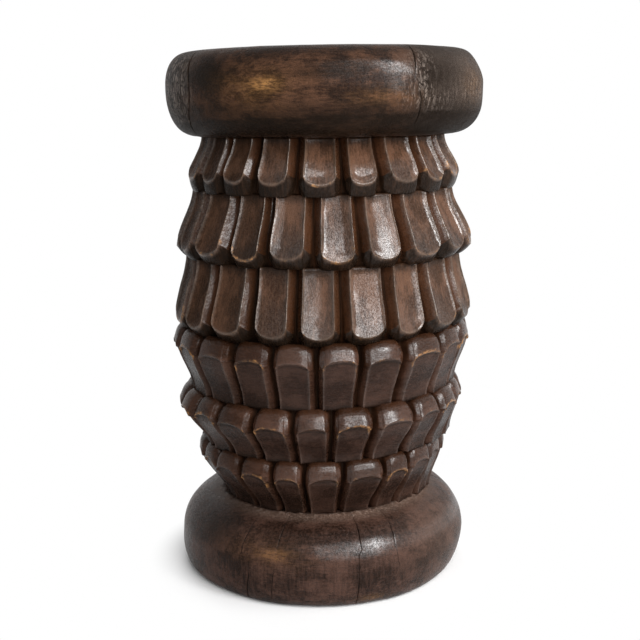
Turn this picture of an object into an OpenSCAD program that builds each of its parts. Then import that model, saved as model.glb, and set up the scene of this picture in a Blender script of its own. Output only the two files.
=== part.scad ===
// Round stool of dark carved wood, built as a stack of eight glued blocks.
// A cushion-shaped seat and a cushion-shaped foot hold a barrel of six rings of
// carved leaves. The leaves of rings 1 to 3 hang down, those of rings 4 to 6
// stand up, and the two kinds meet at the waist. Each block has a turned spigot on
// top, which is glued into a round socket in the block above it.
// Millimetres, +Z up, origin on the floor at the centre of the foot.

/* [Seat] */
// Diameter of the seat at its widest
seat_d = 270; // [250:1:300]
// Thickness of the seat
seat_h = 68; // [60:1:80]
// Diameter of the flat sitting surface
seat_flat_d = 220; // [180:1:236]
// How far below the sitting surface the seat is widest
seat_crown_h = 28; // [20:1:36]

/* [Foot] */
// Diameter of the foot at its widest
foot_d = 252; // [240:1:290]
// Thickness of the foot
foot_h = 70; // [60:1:80]
// Diameter of the flat underside that stands on the floor
foot_flat_d = 224; // [190:1:232]
// Height above the floor at which the foot is widest
foot_belly_h = 32; // [24:1:40]

/* [Ring 1, under the seat] */
// Height of ring 1
ring_1_h = 46; // [40:1:60]
// Radius of ring 1 at the narrow end of its leaves
ring_1_neck_r = 105; // [98:1:110]
// Radius of ring 1 over its leaf tips
ring_1_tip_r = 117; // [114:1:124]
// Number of leaves on ring 1
ring_1_leaves = 20; // [14:1:26]
// Angle of the first groove of ring 1
ring_1_turn = 7.6; // [0:0.1:25]

/* [Ring 2] */
// Height of ring 2
ring_2_h = 54; // [46:1:66]
// Radius of ring 2 at the narrow end of its leaves
ring_2_neck_r = 111; // [106:1:116]
// Radius of ring 2 over its leaf tips
ring_2_tip_r = 126.5; // [120:0.5:134]
// Number of leaves on ring 2
ring_2_leaves = 20; // [14:1:26]
// Angle of the first groove of ring 2
ring_2_turn = 14.7; // [0:0.1:25]

/* [Ring 3, above the waist] */
// Height of ring 3
ring_3_h = 60; // [50:1:72]
// Radius of ring 3 at the narrow end of its leaves
ring_3_neck_r = 118; // [112:1:122]
// Radius of ring 3 over its leaf tips
ring_3_tip_r = 128.5; // [126:0.5:136]
// Number of leaves on ring 3
ring_3_leaves = 20; // [14:1:26]
// Angle of the first groove of ring 3
ring_3_turn = 7.5; // [0:0.1:25]

/* [Ring 4, below the waist] */
// Height of ring 4
ring_4_h = 54; // [46:1:66]
// Radius of ring 4 at the narrow end of its leaves
ring_4_neck_r = 116; // [108:1:120]
// Radius of ring 4 over its leaf tips
ring_4_tip_r = 128; // [126:0.5:136]
// Number of leaves on ring 4
ring_4_leaves = 21; // [14:1:26]
// Angle of the first groove of ring 4
ring_4_turn = 15; // [0:0.1:25]

/* [Ring 5] */
// Height of ring 5
ring_5_h = 47; // [42:1:60]
// Radius of ring 5 at the narrow end of its leaves
ring_5_neck_r = 106; // [98:1:112]
// Radius of ring 5 over its leaf tips
ring_5_tip_r = 123.5; // [120:0.5:130]
// Number of leaves on ring 5
ring_5_leaves = 22; // [14:1:26]
// Angle of the first groove of ring 5
ring_5_turn = 4.3; // [0:0.1:25]

/* [Ring 6, on the foot] */
// Height of ring 6
ring_6_h = 51; // [44:1:62]
// Radius of ring 6 at the narrow end of its leaves
ring_6_neck_r = 88; // [82:1:92]
// Radius of ring 6 over its leaf tips
ring_6_tip_r = 109; // [107:0.5:118]
// Number of leaves on ring 6
ring_6_leaves = 22; // [14:1:26]
// Angle of the first groove of ring 6
ring_6_turn = 9.8; // [0:0.1:25]

/* [Leaves] */
// Radius of the two rings where their leaf tips meet at the waist
waist_r = 119; // [116:1:122]
// Share of a leaf's pitch that its hollow face takes
face_share = 0.68; // [0.55:0.01:0.75]
// Share of a leaf's pitch that its face and both bevelled flanks take
flank_share = 0.88; // [0.8:0.01:0.92]
// How far a flank slopes in from the edge of the face
flank_drop = 2.5; // [1:0.5:3.5]
// Depth of the grooves between leaves at their narrow end
groove_depth = 8; // [4:0.5:12]
// Depth of the grooves below the rim of the block, at the leaf tips
groove_end_depth = 3; // [1:0.5:5]
// Depth of the hollow along the middle of a leaf's face
face_hollow = 1.6; // [0:0.1:3]
// Height of the bevelled end between a leaf's tip edge and the next block
tip_bevel_h = 11; // [8:0.5:14]
// How far the round end of a leaf's face rises from its corners to its middle
tip_round_h = 8; // [4:0.5:10]
// How far the bevelled end of a leaf stands out over the next block
tip_step = 2; // [1:0.5:4]

/* [Glued joints] */
// Diameter of the spigot on top of each block
spigot_d = 80; // [40:1:100]
// Height of the spigot on top of each block
spigot_h = 12; // [6:0.5:18]
// Gap for glue around and above each spigot
glue_gap = 0.3; // [0.1:0.1:0.6]
// Chamfer on the upper edge of each spigot
spigot_chamfer = 1.5; // [0.5:0.5:3]

/* [Rounded edges] */
// Squareness of the seat's upper edge, where 2 is an ellipse
seat_crown_power = 2.6; // [2:0.1:3.5]
// Squareness of the foot's lower edge, where 2 is an ellipse
foot_toe_power = 2.4; // [2:0.1:3.5]

/* [Hidden] */

// The rings are counted from the top. The first three hang their leaves down.
ring_h = [ring_1_h, ring_2_h, ring_3_h, ring_4_h, ring_5_h, ring_6_h];
neck_r = [ring_1_neck_r, ring_2_neck_r, ring_3_neck_r,
          ring_4_neck_r, ring_5_neck_r, ring_6_neck_r];
tip_r = [ring_1_tip_r, ring_2_tip_r, ring_3_tip_r,
         ring_4_tip_r, ring_5_tip_r, ring_6_tip_r];
leaves = [ring_1_leaves, ring_2_leaves, ring_3_leaves,
          ring_4_leaves, ring_5_leaves, ring_6_leaves];
turn = [ring_1_turn, ring_2_turn, ring_3_turn,
        ring_4_turn, ring_5_turn, ring_6_turn];
ring_count = len(ring_h);
hanging_rings = 3;

// Height above the floor of the underside of a ring, and of the seat
function sum_from(i) = i < ring_count ? ring_h[i] + sum_from(i + 1) : 0;
function ring_z(i) = foot_h + sum_from(i + 1);
seat_z = foot_h + sum_from(0);

// A leaf tip's end of a block is as wide as the neck that it meets, or as the waist
neck_step = 1;
function end_r(i) =
    i == hanging_rings - 1 || i == hanging_rings ? waist_r
    : i < hanging_rings ? neck_r[i + 1] - neck_step
    : neck_r[i - 1] - neck_step - tip_step;

// Colours of the waxed wood
seat_colour = [0.24, 0.17, 0.13];
hanging_colour = [0.30, 0.21, 0.17];
standing_colour = [0.25, 0.17, 0.14];
foot_colour = [0.26, 0.19, 0.15];

// Points of a rounded edge from its rim at 0 degrees to its flat at 90, on a quarter
// of a superellipse, which is an ellipse at power 2 and squarer above that
edge_steps = 14;
ellipse_power = 2;
function bulge(x, power) = pow(max(x, 0), 2 / power);
function rounded_edge(rim_r, flat_r, rise, power) =
    [for (step = [0:edge_steps])
        let (a = 90 * step / edge_steps)
        [flat_r + (rim_r - flat_r) * bulge(cos(a), power), rise * bulge(sin(a), power)]];

// Eases from 0 to 1 as a leaf's face does from its neck to its tip
function ease(v) = v * v * (3 - 2 * v);

// Columns of points across one leaf, in shares of half its pitch: the groove on its
// left, the left flank, the face and the right flank
groove = -1;
inner_share = 0.6 * face_share;
columns = [groove, -flank_share, -face_share, -inner_share,
           inner_share, face_share, flank_share];
// Rows of points along a leaf's face, in shares of its length
face_rows = [0, 0.28, 0.52, 0.76, 1];

// How round the end of a face is at column u, from 0 at its middle to 1 at its corners
function corner_drop(u) =
    let (x = min(abs(u) / face_share, 1)) 1 - sqrt(1 - x * x);
// How far column u lies below the flat of the face, in its hollow or on a flank
function face_drop(u) =
    let (x = abs(u) / face_share)
    x > 1 ? flank_drop : face_hollow * (1 - x * x);

// A point of ring i is [radius, height above its neck]
function on_groove(i, s) =
    let (from = neck_r[i] - groove_depth, to = end_r(i) - groove_end_depth)
    [from + (to - from) * s / ring_h[i], s];
function on_face(i, u, v) =
    let (tip_s = ring_h[i] - tip_bevel_h,
         s = v * (tip_s - tip_round_h * corner_drop(u)),
         r = neck_r[i] + (tip_r[i] - neck_r[i]) * ease(s / tip_s))
    u == groove ? on_groove(i, s) : [r - face_drop(u), s];
// The end of a leaf slopes in from its face to a small step over the next block, and
// its corners slope in before its middle does
function on_step(i, u) =
    let (s = ring_h[i] - tip_step - tip_round_h / 2 * corner_drop(u))
    u == groove ? on_groove(i, s)
    : [end_r(i) + tip_step - (abs(u) > face_share ? flank_drop / 2 : 0), s];
function on_end(i, u) =
    u == groove ? on_groove(i, ring_h[i])
    : [end_r(i) - (abs(u) > face_share ? groove_end_depth / 2 : 0), ring_h[i]];
function leaf_column(i, u) =
    concat([for (v = face_rows) on_face(i, u, v)], [on_step(i, u), on_end(i, u)]);

// A solid drum with ring i's leaves round it, neck down, standing on z = 0
module leaf_drum(i) {
    pitch = 360 / leaves[i];
    profiles = [for (u = columns) leaf_column(i, u)];
    across = len(columns);
    around = leaves[i] * across;
    top_row = len(profiles[0]) - 1;
    points = [for (row = [0:top_row], leaf = [0:leaves[i] - 1], c = [0:across - 1])
        let (a = turn[i] + pitch * (leaf + (columns[c] - groove) / 2), p = profiles[c][row])
        [p[0] * sin(a), -p[0] * cos(a), p[1]]];
    walls = [for (row = [0:top_row - 1], c = [0:around - 1])
        let (a = row * around + c, b = row * around + (c + 1) % around)
        each [[a, a + around, b], [b, a + around, b + around]]];
    // Both ends are fans about the axis
    middle = len(points);
    ends = [for (c = [0:around - 1])
        let (next = (c + 1) % around, up = top_row * around)
        each [[middle, c, next], [middle + 1, up + next, up + c]]];
    polyhedron(concat(points, [[0, 0, 0], [0, 0, ring_h[i]]]), concat(walls, ends));
}

// A spigot or socket reaches this far past the face that it stands on
overlap = 1;

module spigot(z) {
    r = spigot_d / 2;
    translate([0, 0, z])
        rotate_extrude($fn = 96)
            polygon([[0, -overlap], [r, -overlap], [r, spigot_h - spigot_chamfer],
                     [r - spigot_chamfer, spigot_h], [0, spigot_h]]);
}

module socket(z) {
    translate([0, 0, z - overlap])
        cylinder(h = overlap + spigot_h + glue_gap, r = spigot_d / 2 + glue_gap, $fn = 96);
}

// Block i of the barrel, with its leaves, its spigot on top and its socket underneath
module leaf_block(i) {
    z = ring_z(i);
    difference() {
        union() {
            if (i < hanging_rings)
                translate([0, 0, z + ring_h[i]]) mirror([0, 0, 1]) leaf_drum(i);
            else
                translate([0, 0, z]) leaf_drum(i);
            spigot(z + ring_h[i]);
        }
        socket(z);
    }
}

module seat() {
    under_h = seat_h - seat_crown_h;
    crown = rounded_edge(seat_d / 2, seat_flat_d / 2, seat_crown_h, seat_crown_power);
    under = rounded_edge(seat_d / 2, neck_r[0], under_h, ellipse_power);
    color(seat_colour)
        difference() {
            translate([0, 0, seat_z + under_h])
                rotate_extrude($fn = 180)
                    polygon(concat(
                        [for (step = [edge_steps:-1:1]) [under[step][0], -under[step][1]]],
                        crown,
                        [[0, seat_crown_h], [0, -under_h]]));
            socket(seat_z);
        }
}

module leaf_ring_1() { color(hanging_colour) leaf_block(0); }
module leaf_ring_2() { color(hanging_colour) leaf_block(1); }
module leaf_ring_3() { color(hanging_colour) leaf_block(2); }
module leaf_ring_4() { color(standing_colour) leaf_block(3); }
module leaf_ring_5() { color(standing_colour) leaf_block(4); }
module leaf_ring_6() { color(standing_colour) leaf_block(5); }

module foot() {
    rise = foot_h - foot_belly_h;
    shoulder = rounded_edge(foot_d / 2, neck_r[ring_count - 1], rise, ellipse_power);
    toe = rounded_edge(foot_d / 2, foot_flat_d / 2, foot_belly_h, foot_toe_power);
    color(foot_colour) {
        translate([0, 0, foot_belly_h])
            rotate_extrude($fn = 180)
                polygon(concat(
                    [for (step = [edge_steps:-1:1]) [toe[step][0], -toe[step][1]]],
                    shoulder,
                    [[0, rise], [0, -foot_belly_h]]));
        spigot(foot_h);
    }
}

seat();
leaf_ring_1();
leaf_ring_2();
leaf_ring_3();
leaf_ring_4();
leaf_ring_5();
leaf_ring_6();
foot();
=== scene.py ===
"""Round stool of dark carved wood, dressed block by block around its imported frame.

The seat and the foot are turned cushions with drying cracks. Six rings of carved leaves
lie between them: the leaves of rings 1 to 3 hang down and those of rings 4 to 6 stand up.
"""

import math
import random

import bpy
import numpy as np
from bpy.props import FloatProperty, FloatVectorProperty, PointerProperty
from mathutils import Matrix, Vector, noise

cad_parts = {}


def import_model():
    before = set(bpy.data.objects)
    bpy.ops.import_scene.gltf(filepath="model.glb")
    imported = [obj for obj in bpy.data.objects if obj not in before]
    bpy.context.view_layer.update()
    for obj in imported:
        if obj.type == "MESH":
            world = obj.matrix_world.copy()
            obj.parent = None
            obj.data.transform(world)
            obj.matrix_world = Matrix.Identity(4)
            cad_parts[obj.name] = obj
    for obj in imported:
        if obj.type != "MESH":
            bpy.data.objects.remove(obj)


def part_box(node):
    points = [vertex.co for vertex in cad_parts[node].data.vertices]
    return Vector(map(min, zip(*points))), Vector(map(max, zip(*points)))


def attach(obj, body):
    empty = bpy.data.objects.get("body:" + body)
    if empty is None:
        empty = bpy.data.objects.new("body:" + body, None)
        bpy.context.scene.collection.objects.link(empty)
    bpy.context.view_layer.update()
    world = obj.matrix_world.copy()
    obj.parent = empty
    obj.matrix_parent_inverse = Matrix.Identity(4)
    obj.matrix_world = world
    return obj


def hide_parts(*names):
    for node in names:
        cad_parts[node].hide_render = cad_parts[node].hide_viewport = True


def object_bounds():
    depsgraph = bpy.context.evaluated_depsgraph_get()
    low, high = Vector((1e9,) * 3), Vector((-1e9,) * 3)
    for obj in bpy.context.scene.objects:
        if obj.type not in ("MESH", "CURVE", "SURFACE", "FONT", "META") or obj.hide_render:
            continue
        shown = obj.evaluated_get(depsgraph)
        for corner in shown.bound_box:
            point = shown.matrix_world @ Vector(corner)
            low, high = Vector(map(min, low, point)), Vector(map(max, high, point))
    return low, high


bl_info = {
    "name": "Carved Leaf Stool",
    "version": (1, 0, 0),
    "blender": (4, 5, 0),
    "location": "3D View > Sidebar > Stool",
    "description": "Builds a round stool of carved wood with six rings of leaves",
    "category": "Add Mesh",
}

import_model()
cad_low, cad_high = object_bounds()

MM = 0.001
FULL_TURN = 2 * math.pi

# The spigot on the top of every block but the seat, and the gap for its glue
SPIGOT_RADIUS = 40 * MM
SPIGOT_HEIGHT = 12 * MM
GLUE_GAP = 0.3 * MM
# Blocks of the stack from the frame: how low and how high each one reaches without its spigot
RING_NAMES = ["leaf_ring_%d" % number for number in range(1, 7)]
BLOCKS_UP = ["foot"] + RING_NAMES[::-1] + ["seat"]
BLOCK_BASE = {name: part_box(name)[0].z for name in BLOCKS_UP}
BLOCK_TOP = {low: BLOCK_BASE[high] for low, high in zip(BLOCKS_UP, BLOCKS_UP[1:])}
BLOCK_TOP["seat"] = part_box("seat")[1].z

# Each ring's radius at the necks and over the tips of its leaves, and the height of its bevelled
# ends, in millimetres. tip_sides and neck_sides are how much further they reach on the left and
# on the right. Then its count of leaves, the azimuth of its first groove, and where the grooves
# that face the front were cut, in degrees. Azimuth 0 is the front, and it grows to the right.
RINGS = {
    "leaf_ring_1": dict(
        neck=102.5, tip=114.5, bevel=9, tip_sides=(-1.5, 1.0), neck_sides=(0, 0), hangs=True,
        leaves=20, first=7.6, cuts=[-61.7, -45.6, -29.3, -10.8, 8.1, 24.0, 44.1, 60.6]),
    "leaf_ring_2": dict(
        neck=111, tip=126.5, bevel=6, tip_sides=(-3.0, 2.5), neck_sides=(0, 0), hangs=True,
        leaves=20, first=14.7, cuts=[-57.2, -37.2, -21.5, -3.5, 14.1, 31.3, 51.2]),
    "leaf_ring_3": dict(
        neck=118, tip=128.5, bevel=5.5, tip_sides=(0, 0), neck_sides=(0, 0), hangs=True,
        leaves=20, first=7.5, cuts=[-62.6, -46.7, -27.1, -9.9, 7.1, 25.1, 41.7, 60.6]),
    "leaf_ring_4": dict(
        neck=116, tip=128, bevel=11.5, tip_sides=(0, -2.0), neck_sides=(0, 0), hangs=False,
        leaves=21, first=15.0, cuts=[-54.0, -35.3, -18.8, -2.3, 13.9, 31.2, 50.5]),
    "leaf_ring_5": dict(
        neck=106, tip=124.5, bevel=11.5, tip_sides=(0, -3.0), neck_sides=(0, 7.5), hangs=False,
        leaves=22, first=4.3, cuts=[-45.5, -27.8, -11.7, 3.5, 19.9, 38.2, 53.6]),
    "leaf_ring_6": dict(
        neck=88, tip=110, bevel=11, tip_sides=(-1.5, -4.5), neck_sides=(0, 9.5), hangs=False,
        leaves=22, first=9.8, cuts=[-39.1, -22.7, -8.2, 9.1, 28.1, 42.2, 58.9]),
}
WAIST_RADIUS = 119 * MM

# Columns of points across half a leaf, counted from its middle: the last one of the face, of
# the flank beside it, of its worn edge, of the wall that goes down into the groove, and of all
FACE_COLUMN = 8
FLANK_COLUMN = 13
EDGE_COLUMN = 14
FLOOR_COLUMN = 16
HALF_COLUMNS = 18

# Rows of points along a leaf: the core that closes its neck, the face, the bevelled end, the
# undercut past it, and the core that closes the other end
CORE_ROWS = 3
FACE_ROWS = 26
BEVEL_ROWS = 8
UNDERCUT_ROWS = 2
FACE_END = CORE_ROWS + FACE_ROWS
BEVEL_END = FACE_END + BEVEL_ROWS
UNDERCUT_END = BEVEL_END + UNDERCUT_ROWS
ROW_COUNT = UNDERCUT_END + CORE_ROWS + 1

# Points closer than this become one
WELD_DISTANCE = 0.002 * MM


class Field:
    """A number that varies over a surface, held as an output socket of a node tree."""

    def __init__(self, socket):
        self.socket = socket
        self.tree = socket.id_data

    def __add__(self, other):
        return calculate(self.tree, "ADD", self, other)

    def __radd__(self, other):
        return calculate(self.tree, "ADD", other, self)

    def __sub__(self, other):
        return calculate(self.tree, "SUBTRACT", self, other)

    def __rsub__(self, other):
        return calculate(self.tree, "SUBTRACT", other, self)

    def __mul__(self, other):
        return calculate(self.tree, "MULTIPLY", self, other)

    def __rmul__(self, other):
        return calculate(self.tree, "MULTIPLY", other, self)

    def __truediv__(self, other):
        return calculate(self.tree, "DIVIDE", self, other)

    def __rtruediv__(self, other):
        return calculate(self.tree, "DIVIDE", other, self)

    def __neg__(self):
        return calculate(self.tree, "MULTIPLY", self, -1.0)

    def __abs__(self):
        return calculate(self.tree, "ABSOLUTE", self)


def connect(tree, value, socket):
    """Feeds a socket from a field or sets it to a number or colour."""
    if isinstance(value, Field):
        tree.links.new(value.socket, socket)
    elif isinstance(value, bpy.types.NodeSocket):
        tree.links.new(value, socket)
    else:
        socket.default_value = value


def calculate(tree, operation, *values):
    """A Math node on up to three values."""
    node = tree.nodes.new("ShaderNodeMath")
    node.operation = operation
    for value, socket in zip(values, node.inputs):
        connect(tree, value, socket)
    return Field(node.outputs[0])


def smaller(a, b):
    return calculate(a.tree, "MINIMUM", a, b)


def larger(a, b):
    return calculate(a.tree, "MAXIMUM", a, b)


def largest(first, *others):
    for other in others:
        first = larger(first, other)
    return first


def is_over(a, b):
    """1 where a is over b, and 0 elsewhere."""
    return calculate(a.tree, "GREATER_THAN", a, b)


def root(a):
    return calculate(a.tree, "SQRT", larger(a, 0.0))


def sine(a):
    return calculate(a.tree, "SINE", a)


def cosine(a):
    return calculate(a.tree, "COSINE", a)


def blend(a, b, share):
    """a where share is 0 and b where it is 1."""
    return a + (b - a) * share


def rise(value, low, high, smooth=True):
    """Goes from 0 to 1 as value goes from low to high."""
    node = value.tree.nodes.new("ShaderNodeMapRange")
    node.interpolation_type = "SMOOTHSTEP" if smooth else "LINEAR"
    node.clamp = True
    for number, socket in zip((value, low, high), node.inputs):
        connect(value.tree, number, socket)
    return Field(node.outputs[0])


def steps(value, stops):
    """Runs in straight stretches through stops, a list of (value, result)."""
    total = stops[0][1]
    for (start, low), (end, high) in zip(stops, stops[1:]):
        total = rise(value, start, end, smooth=False) * (high - low) + total
    return total


def power(value, exponent):
    return calculate(value.tree, "POWER", value, exponent)


def near(distance, reach):
    """1 where distance is 0, fading to 0 at reach."""
    return 1.0 - rise(abs(distance), 0.0, reach)


# The ring tree's inputs that are plain numbers, beside the count of leaves and the wood
RING_NUMBERS = [
    "First groove", "Hangs", "Neck level", "Height", "Neck radius", "Tip radius", "End radius",
    "Face share", "Flank share", "Groove share", "Face hollow", "Flank drop", "Groove depth",
    "Groove tip depth", "Bevel height", "Bevel bulge", "Face round", "End round", "End taper",
    "Spoon", "Rim", "Lip", "End crown", "End flank", "Flank return", "Step", "Overhang", "Undercut",
    "Arris round", "Waviness", "Neck core rise", "Neck core radius", "End core rise",
    "End core radius", "Seed",
]

# How a leaf's taper grows from its last rows of face, as (share of the bevel rows, share of the
# taper), and how its bevelled end runs out, as (share of the bevel rows, share of the way down)
TAPER_STOPS = [(-0.5, 0.0), (0.0, 0.08), (0.4, 0.26), (0.7, 0.52), (0.9, 0.8), (1.0, 1.0)]
DOWN_STOPS = [(0.0, 0.0), (1 / BEVEL_ROWS, 0.06), (1 - 1 / BEVEL_ROWS, 0.94), (1.0, 1.0)]
# Powers of the face's spoon-shaped hollow, the end's round corners and the end's crown
SPOON_POWER = 2.4
CORNER_POWER = 5.0
CROWN_POWER = 3.0
# Widths of the raised rim beside the face and of the lip at its end
RIM_WIDTH = 1.5 * MM
LIP_WIDTH = 1.8 * MM
# Sizes of the lumps, the gouge marks and the wander of the hand carving, and how far each one
# moves the surface for each unit of waviness: the wander moves it around and along the leaf
LUMP_SIZE = 30 * MM
LUMP_REACH = 2.4
GOUGE_SIZE = 7 * MM
GOUGE_REACH = 0.7
WANDER_SIZE = 22 * MM
WANDER_AROUND = 3.0
WANDER_ALONG = 2.0


def noise_field(tree, position, size, seed):
    """Noise from about -0.5 to 0.5, with lumps of a size in metres."""
    node = tree.nodes.new("ShaderNodeTexNoise")
    node.noise_dimensions = "4D"
    tree.links.new(position, node.inputs["Vector"])
    connect(tree, seed, node.inputs["W"])
    node.inputs["Scale"].default_value = 1 / size
    node.inputs["Detail"].default_value = 2.0
    return Field(node.outputs[0]) - 0.5


class LeafPoint:
    """What the ring tree works out for a point of the ring, one step after the other.

    size holds the tree's inputs. s is the distance along the leaf from its neck, r the distance
    from the stool's axis and angle the azimuth.
    """

    def __init__(self, tree, given):
        self.tree = tree
        self.marks = given.outputs["Leaf marks"]
        self.size = {name: Field(given.outputs[name]) for name in ["Leaves"] + RING_NUMBERS}

    def mark(self, name, leaf):
        """What the carver did to one leaf, from the points that come in."""
        named = self.tree.nodes.new("GeometryNodeInputNamedAttribute")
        named.data_type = "FLOAT"
        named.inputs["Name"].default_value = name
        sample = self.tree.nodes.new("GeometryNodeSampleIndex")
        sample.data_type = "FLOAT"
        self.tree.links.new(self.marks, sample.inputs["Geometry"])
        self.tree.links.new(named.outputs["Attribute"], sample.inputs["Value"])
        connect(self.tree, leaf + 0.25, sample.inputs["Index"])
        return Field(sample.outputs["Value"])

    def place(self):
        """The point as a vector."""
        level = self.size["Neck level"] + self.s * (1.0 - self.size["Hangs"] * 2.0)
        node = self.tree.nodes.new("ShaderNodeCombineXYZ")
        connect(self.tree, self.r * sine(self.angle), node.inputs[0])
        connect(self.tree, -(self.r * cosine(self.angle)), node.inputs[1])
        connect(self.tree, level, node.inputs[2])
        return node.outputs[0]


def number_point(p):
    """Which leaf, column and row of the grid a point belongs to."""
    leaves = p.size["Leaves"]
    across = float(2 * HALF_COLUMNS)
    index = Field(p.tree.nodes.new("GeometryNodeInputIndex").outputs[0]) + 0.5
    column = calculate(p.tree, "FLOOR", index / float(ROW_COUNT))
    p.row = calculate(p.tree, "FLOOR", index - column * float(ROW_COUNT))
    leaf = calculate(p.tree, "FLOOR", (column + 0.5) / across)
    p.share = (column - leaf * across) / across
    p.leaf = leaf - leaves * is_over(leaf, leaves - 0.5)
    p.next_leaf = p.leaf + 1.0
    p.next_groove = p.next_leaf - leaves * is_over(p.next_leaf, leaves - 0.5)


def lay_across(p):
    """Where a column lies: u runs from -1 in the groove on the leaf's left to 1 on its right."""
    size = p.size
    p.half_pitch = size["Tip radius"] * math.pi / size["Leaves"]
    side = is_over(p.share, 0.5) * 2.0 - 1.0
    out = abs(p.share * 2.0 - 1.0) * float(HALF_COLUMNS)
    fine = size["Arris round"] / p.half_pitch
    face = size["Face share"] + p.mark("face_bias", p.leaf) * side
    flank = size["Flank share"]
    bend = sine(rise(out, 0.0, FACE_COLUMN, smooth=False) * (math.pi / 2))
    beyond = steps(out, [
        (FACE_COLUMN, 0.0), (FACE_COLUMN + 1, fine), (FACE_COLUMN + 2, fine * 2.0),
        (FLANK_COLUMN - 1, flank - face - fine * 1.5), (FLANK_COLUMN, flank - face),
        (EDGE_COLUMN, flank - face + fine), (FLOOR_COLUMN, size["Groove share"] - face),
        (HALF_COLUMNS, 1.0 - face)])
    p.face_share = face
    p.from_middle = bend * face + beyond
    stops = [(FACE_END + rows * BEVEL_ROWS, share) for rows, share in TAPER_STOPS]
    taper = steps(p.row, stops) * size["End taper"]
    in_wall = rise(out, EDGE_COLUMN, HALF_COLUMNS, smooth=False)
    p.u = (p.from_middle * (1.0 - taper) + taper * in_wall) * side
    pitch = FULL_TURN / size["Leaves"]
    left = size["First groove"] + p.leaf * pitch + p.mark("groove_shift", p.leaf)
    right = size["First groove"] + p.next_leaf * pitch + p.mark("groove_shift", p.next_groove)
    p.angle = blend(left, right, (p.u + 1.0) * 0.5)
    p.offset = p.u * p.half_pitch


def shape_face(p):
    """The hollow face with its round end, its rim and its lip, and the flanks that slope away."""
    size = p.size
    p.in_face = smaller(p.from_middle / p.face_share, 1.0)
    corner = 1.0 - root(1.0 - p.in_face * p.in_face)
    p.tip_level = size["Height"] - size["Bevel height"]
    p.tip_shift = p.mark("tip_shift", p.leaf)
    skew = p.mark("end_skew", p.leaf) * p.u
    beside = larger(smaller(p.from_middle, size["Flank share"]) - p.face_share, 0.0) * p.half_pitch
    face_length = (p.tip_level + p.tip_shift + skew - size["Face round"] * corner
                   + beside * size["Flank return"])
    p.along = steps(p.row, [
        (CORE_ROWS, 0.0), (CORE_ROWS + 0.45 * FACE_ROWS, 0.50), (FACE_END - 5.0, 0.90),
        (FACE_END - 3.0, 1.0 - 2.2 * MM / p.tip_level),
        (FACE_END - 1.0, 1.0 - size["Arris round"] / p.tip_level), (FACE_END, 1.0)])
    p.s = face_length * p.along
    p.tip_radius = size["Tip radius"] + p.mark("tip_reach", p.leaf)
    neck_radius = size["Neck radius"] + p.mark("neck_reach", p.leaf)
    face_r = blend(neck_radius, p.tip_radius, rise(p.s, 0.0, p.tip_level))
    spoon = 1.0 - rise(p.along, 0.80, 1.0) * size["Spoon"]
    scoop = (1.0 - power(p.in_face, SPOON_POWER)) * spoon * size["Face hollow"]
    scoop = scoop * p.mark("hollow", p.leaf)
    on_flank = is_over(p.from_middle, p.face_share + 0.01)
    side_rim = near((p.from_middle - p.face_share) * p.half_pitch, RIM_WIDTH) * size["Rim"]
    end_rim = near((1.0 - p.along) * p.tip_level, LIP_WIDTH) * size["Lip"]
    rim = larger(side_rim * (1.0 - on_flank), end_rim)
    p.down = steps(rise(p.row, FACE_END, BEVEL_END, smooth=False), DOWN_STOPS)
    p.flank = rise(p.from_middle, p.face_share, size["Flank share"], smooth=False)
    wider_end = 1.0 - rise(p.down, 0.0, 0.3) * (1.0 - size["End flank"])
    p.flank_cut = p.flank * size["Flank drop"] * wider_end
    p.r = face_r - scoop - p.flank_cut + p.mark("roll", p.leaf) * p.offset + rim


def shape_end(p):
    """The bevelled end, from the face's end to a step over the next block."""
    size = p.size
    outline = smaller(p.from_middle / size["Groove share"], 1.0)
    step_s = (size["Height"] + size["Overhang"] - size["End round"] * power(outline, CORNER_POWER)
              + smaller(p.tip_shift, 0.0) * 0.5)
    step_r = size["End radius"] + size["Step"] + (p.tip_radius - size["Tip radius"]) * 0.5
    bulge = p.down * (1.0 - p.down) * (0.4 + 1.2 * p.down) * 4.0 * size["Bevel bulge"]
    crowned = power(outline, CROWN_POWER) * size["End crown"] * root(p.down)
    bevel_r = blend(p.r, step_r - p.flank_cut, p.down) + bulge - crowned
    bevel_s = blend(p.s, step_s, p.down) + bulge * 0.5
    p.on_bevel = is_over(p.row, FACE_END + 0.5)
    p.s = blend(p.s, bevel_s, p.on_bevel)
    p.r = blend(p.r, bevel_r, p.on_bevel)


def cut_groove(p):
    """The groove between two leaves, which runs into the undercut at their tips."""
    size = p.size
    floor = blend(size["Neck radius"] - size["Groove depth"],
                  size["Tip radius"] - size["Groove tip depth"], rise(p.s, 0.0, p.tip_level))
    floor = blend(floor, size["End radius"] - size["Undercut"],
                  rise(p.s, p.tip_level * 0.9, size["Height"]))
    p.in_groove = rise(p.from_middle, size["Flank share"], size["Groove share"], smooth=False)
    p.r = blend(p.r, smaller(floor, p.r), p.in_groove)


def cut_undercut(p):
    """The dark gap between the leaves' ends and the next block."""
    size = p.size
    across_gap = rise(p.row, BEVEL_END, UNDERCUT_END, smooth=False)
    p.on_undercut = is_over(p.row, BEVEL_END + 0.5)
    under_r = blend(size["End radius"], size["End radius"] - size["Undercut"],
                    is_over(across_gap, 0.75))
    p.r = blend(p.r, smaller(p.r, under_r), p.on_undercut)
    p.s = blend(p.s, size["Height"], p.on_undercut)


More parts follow.
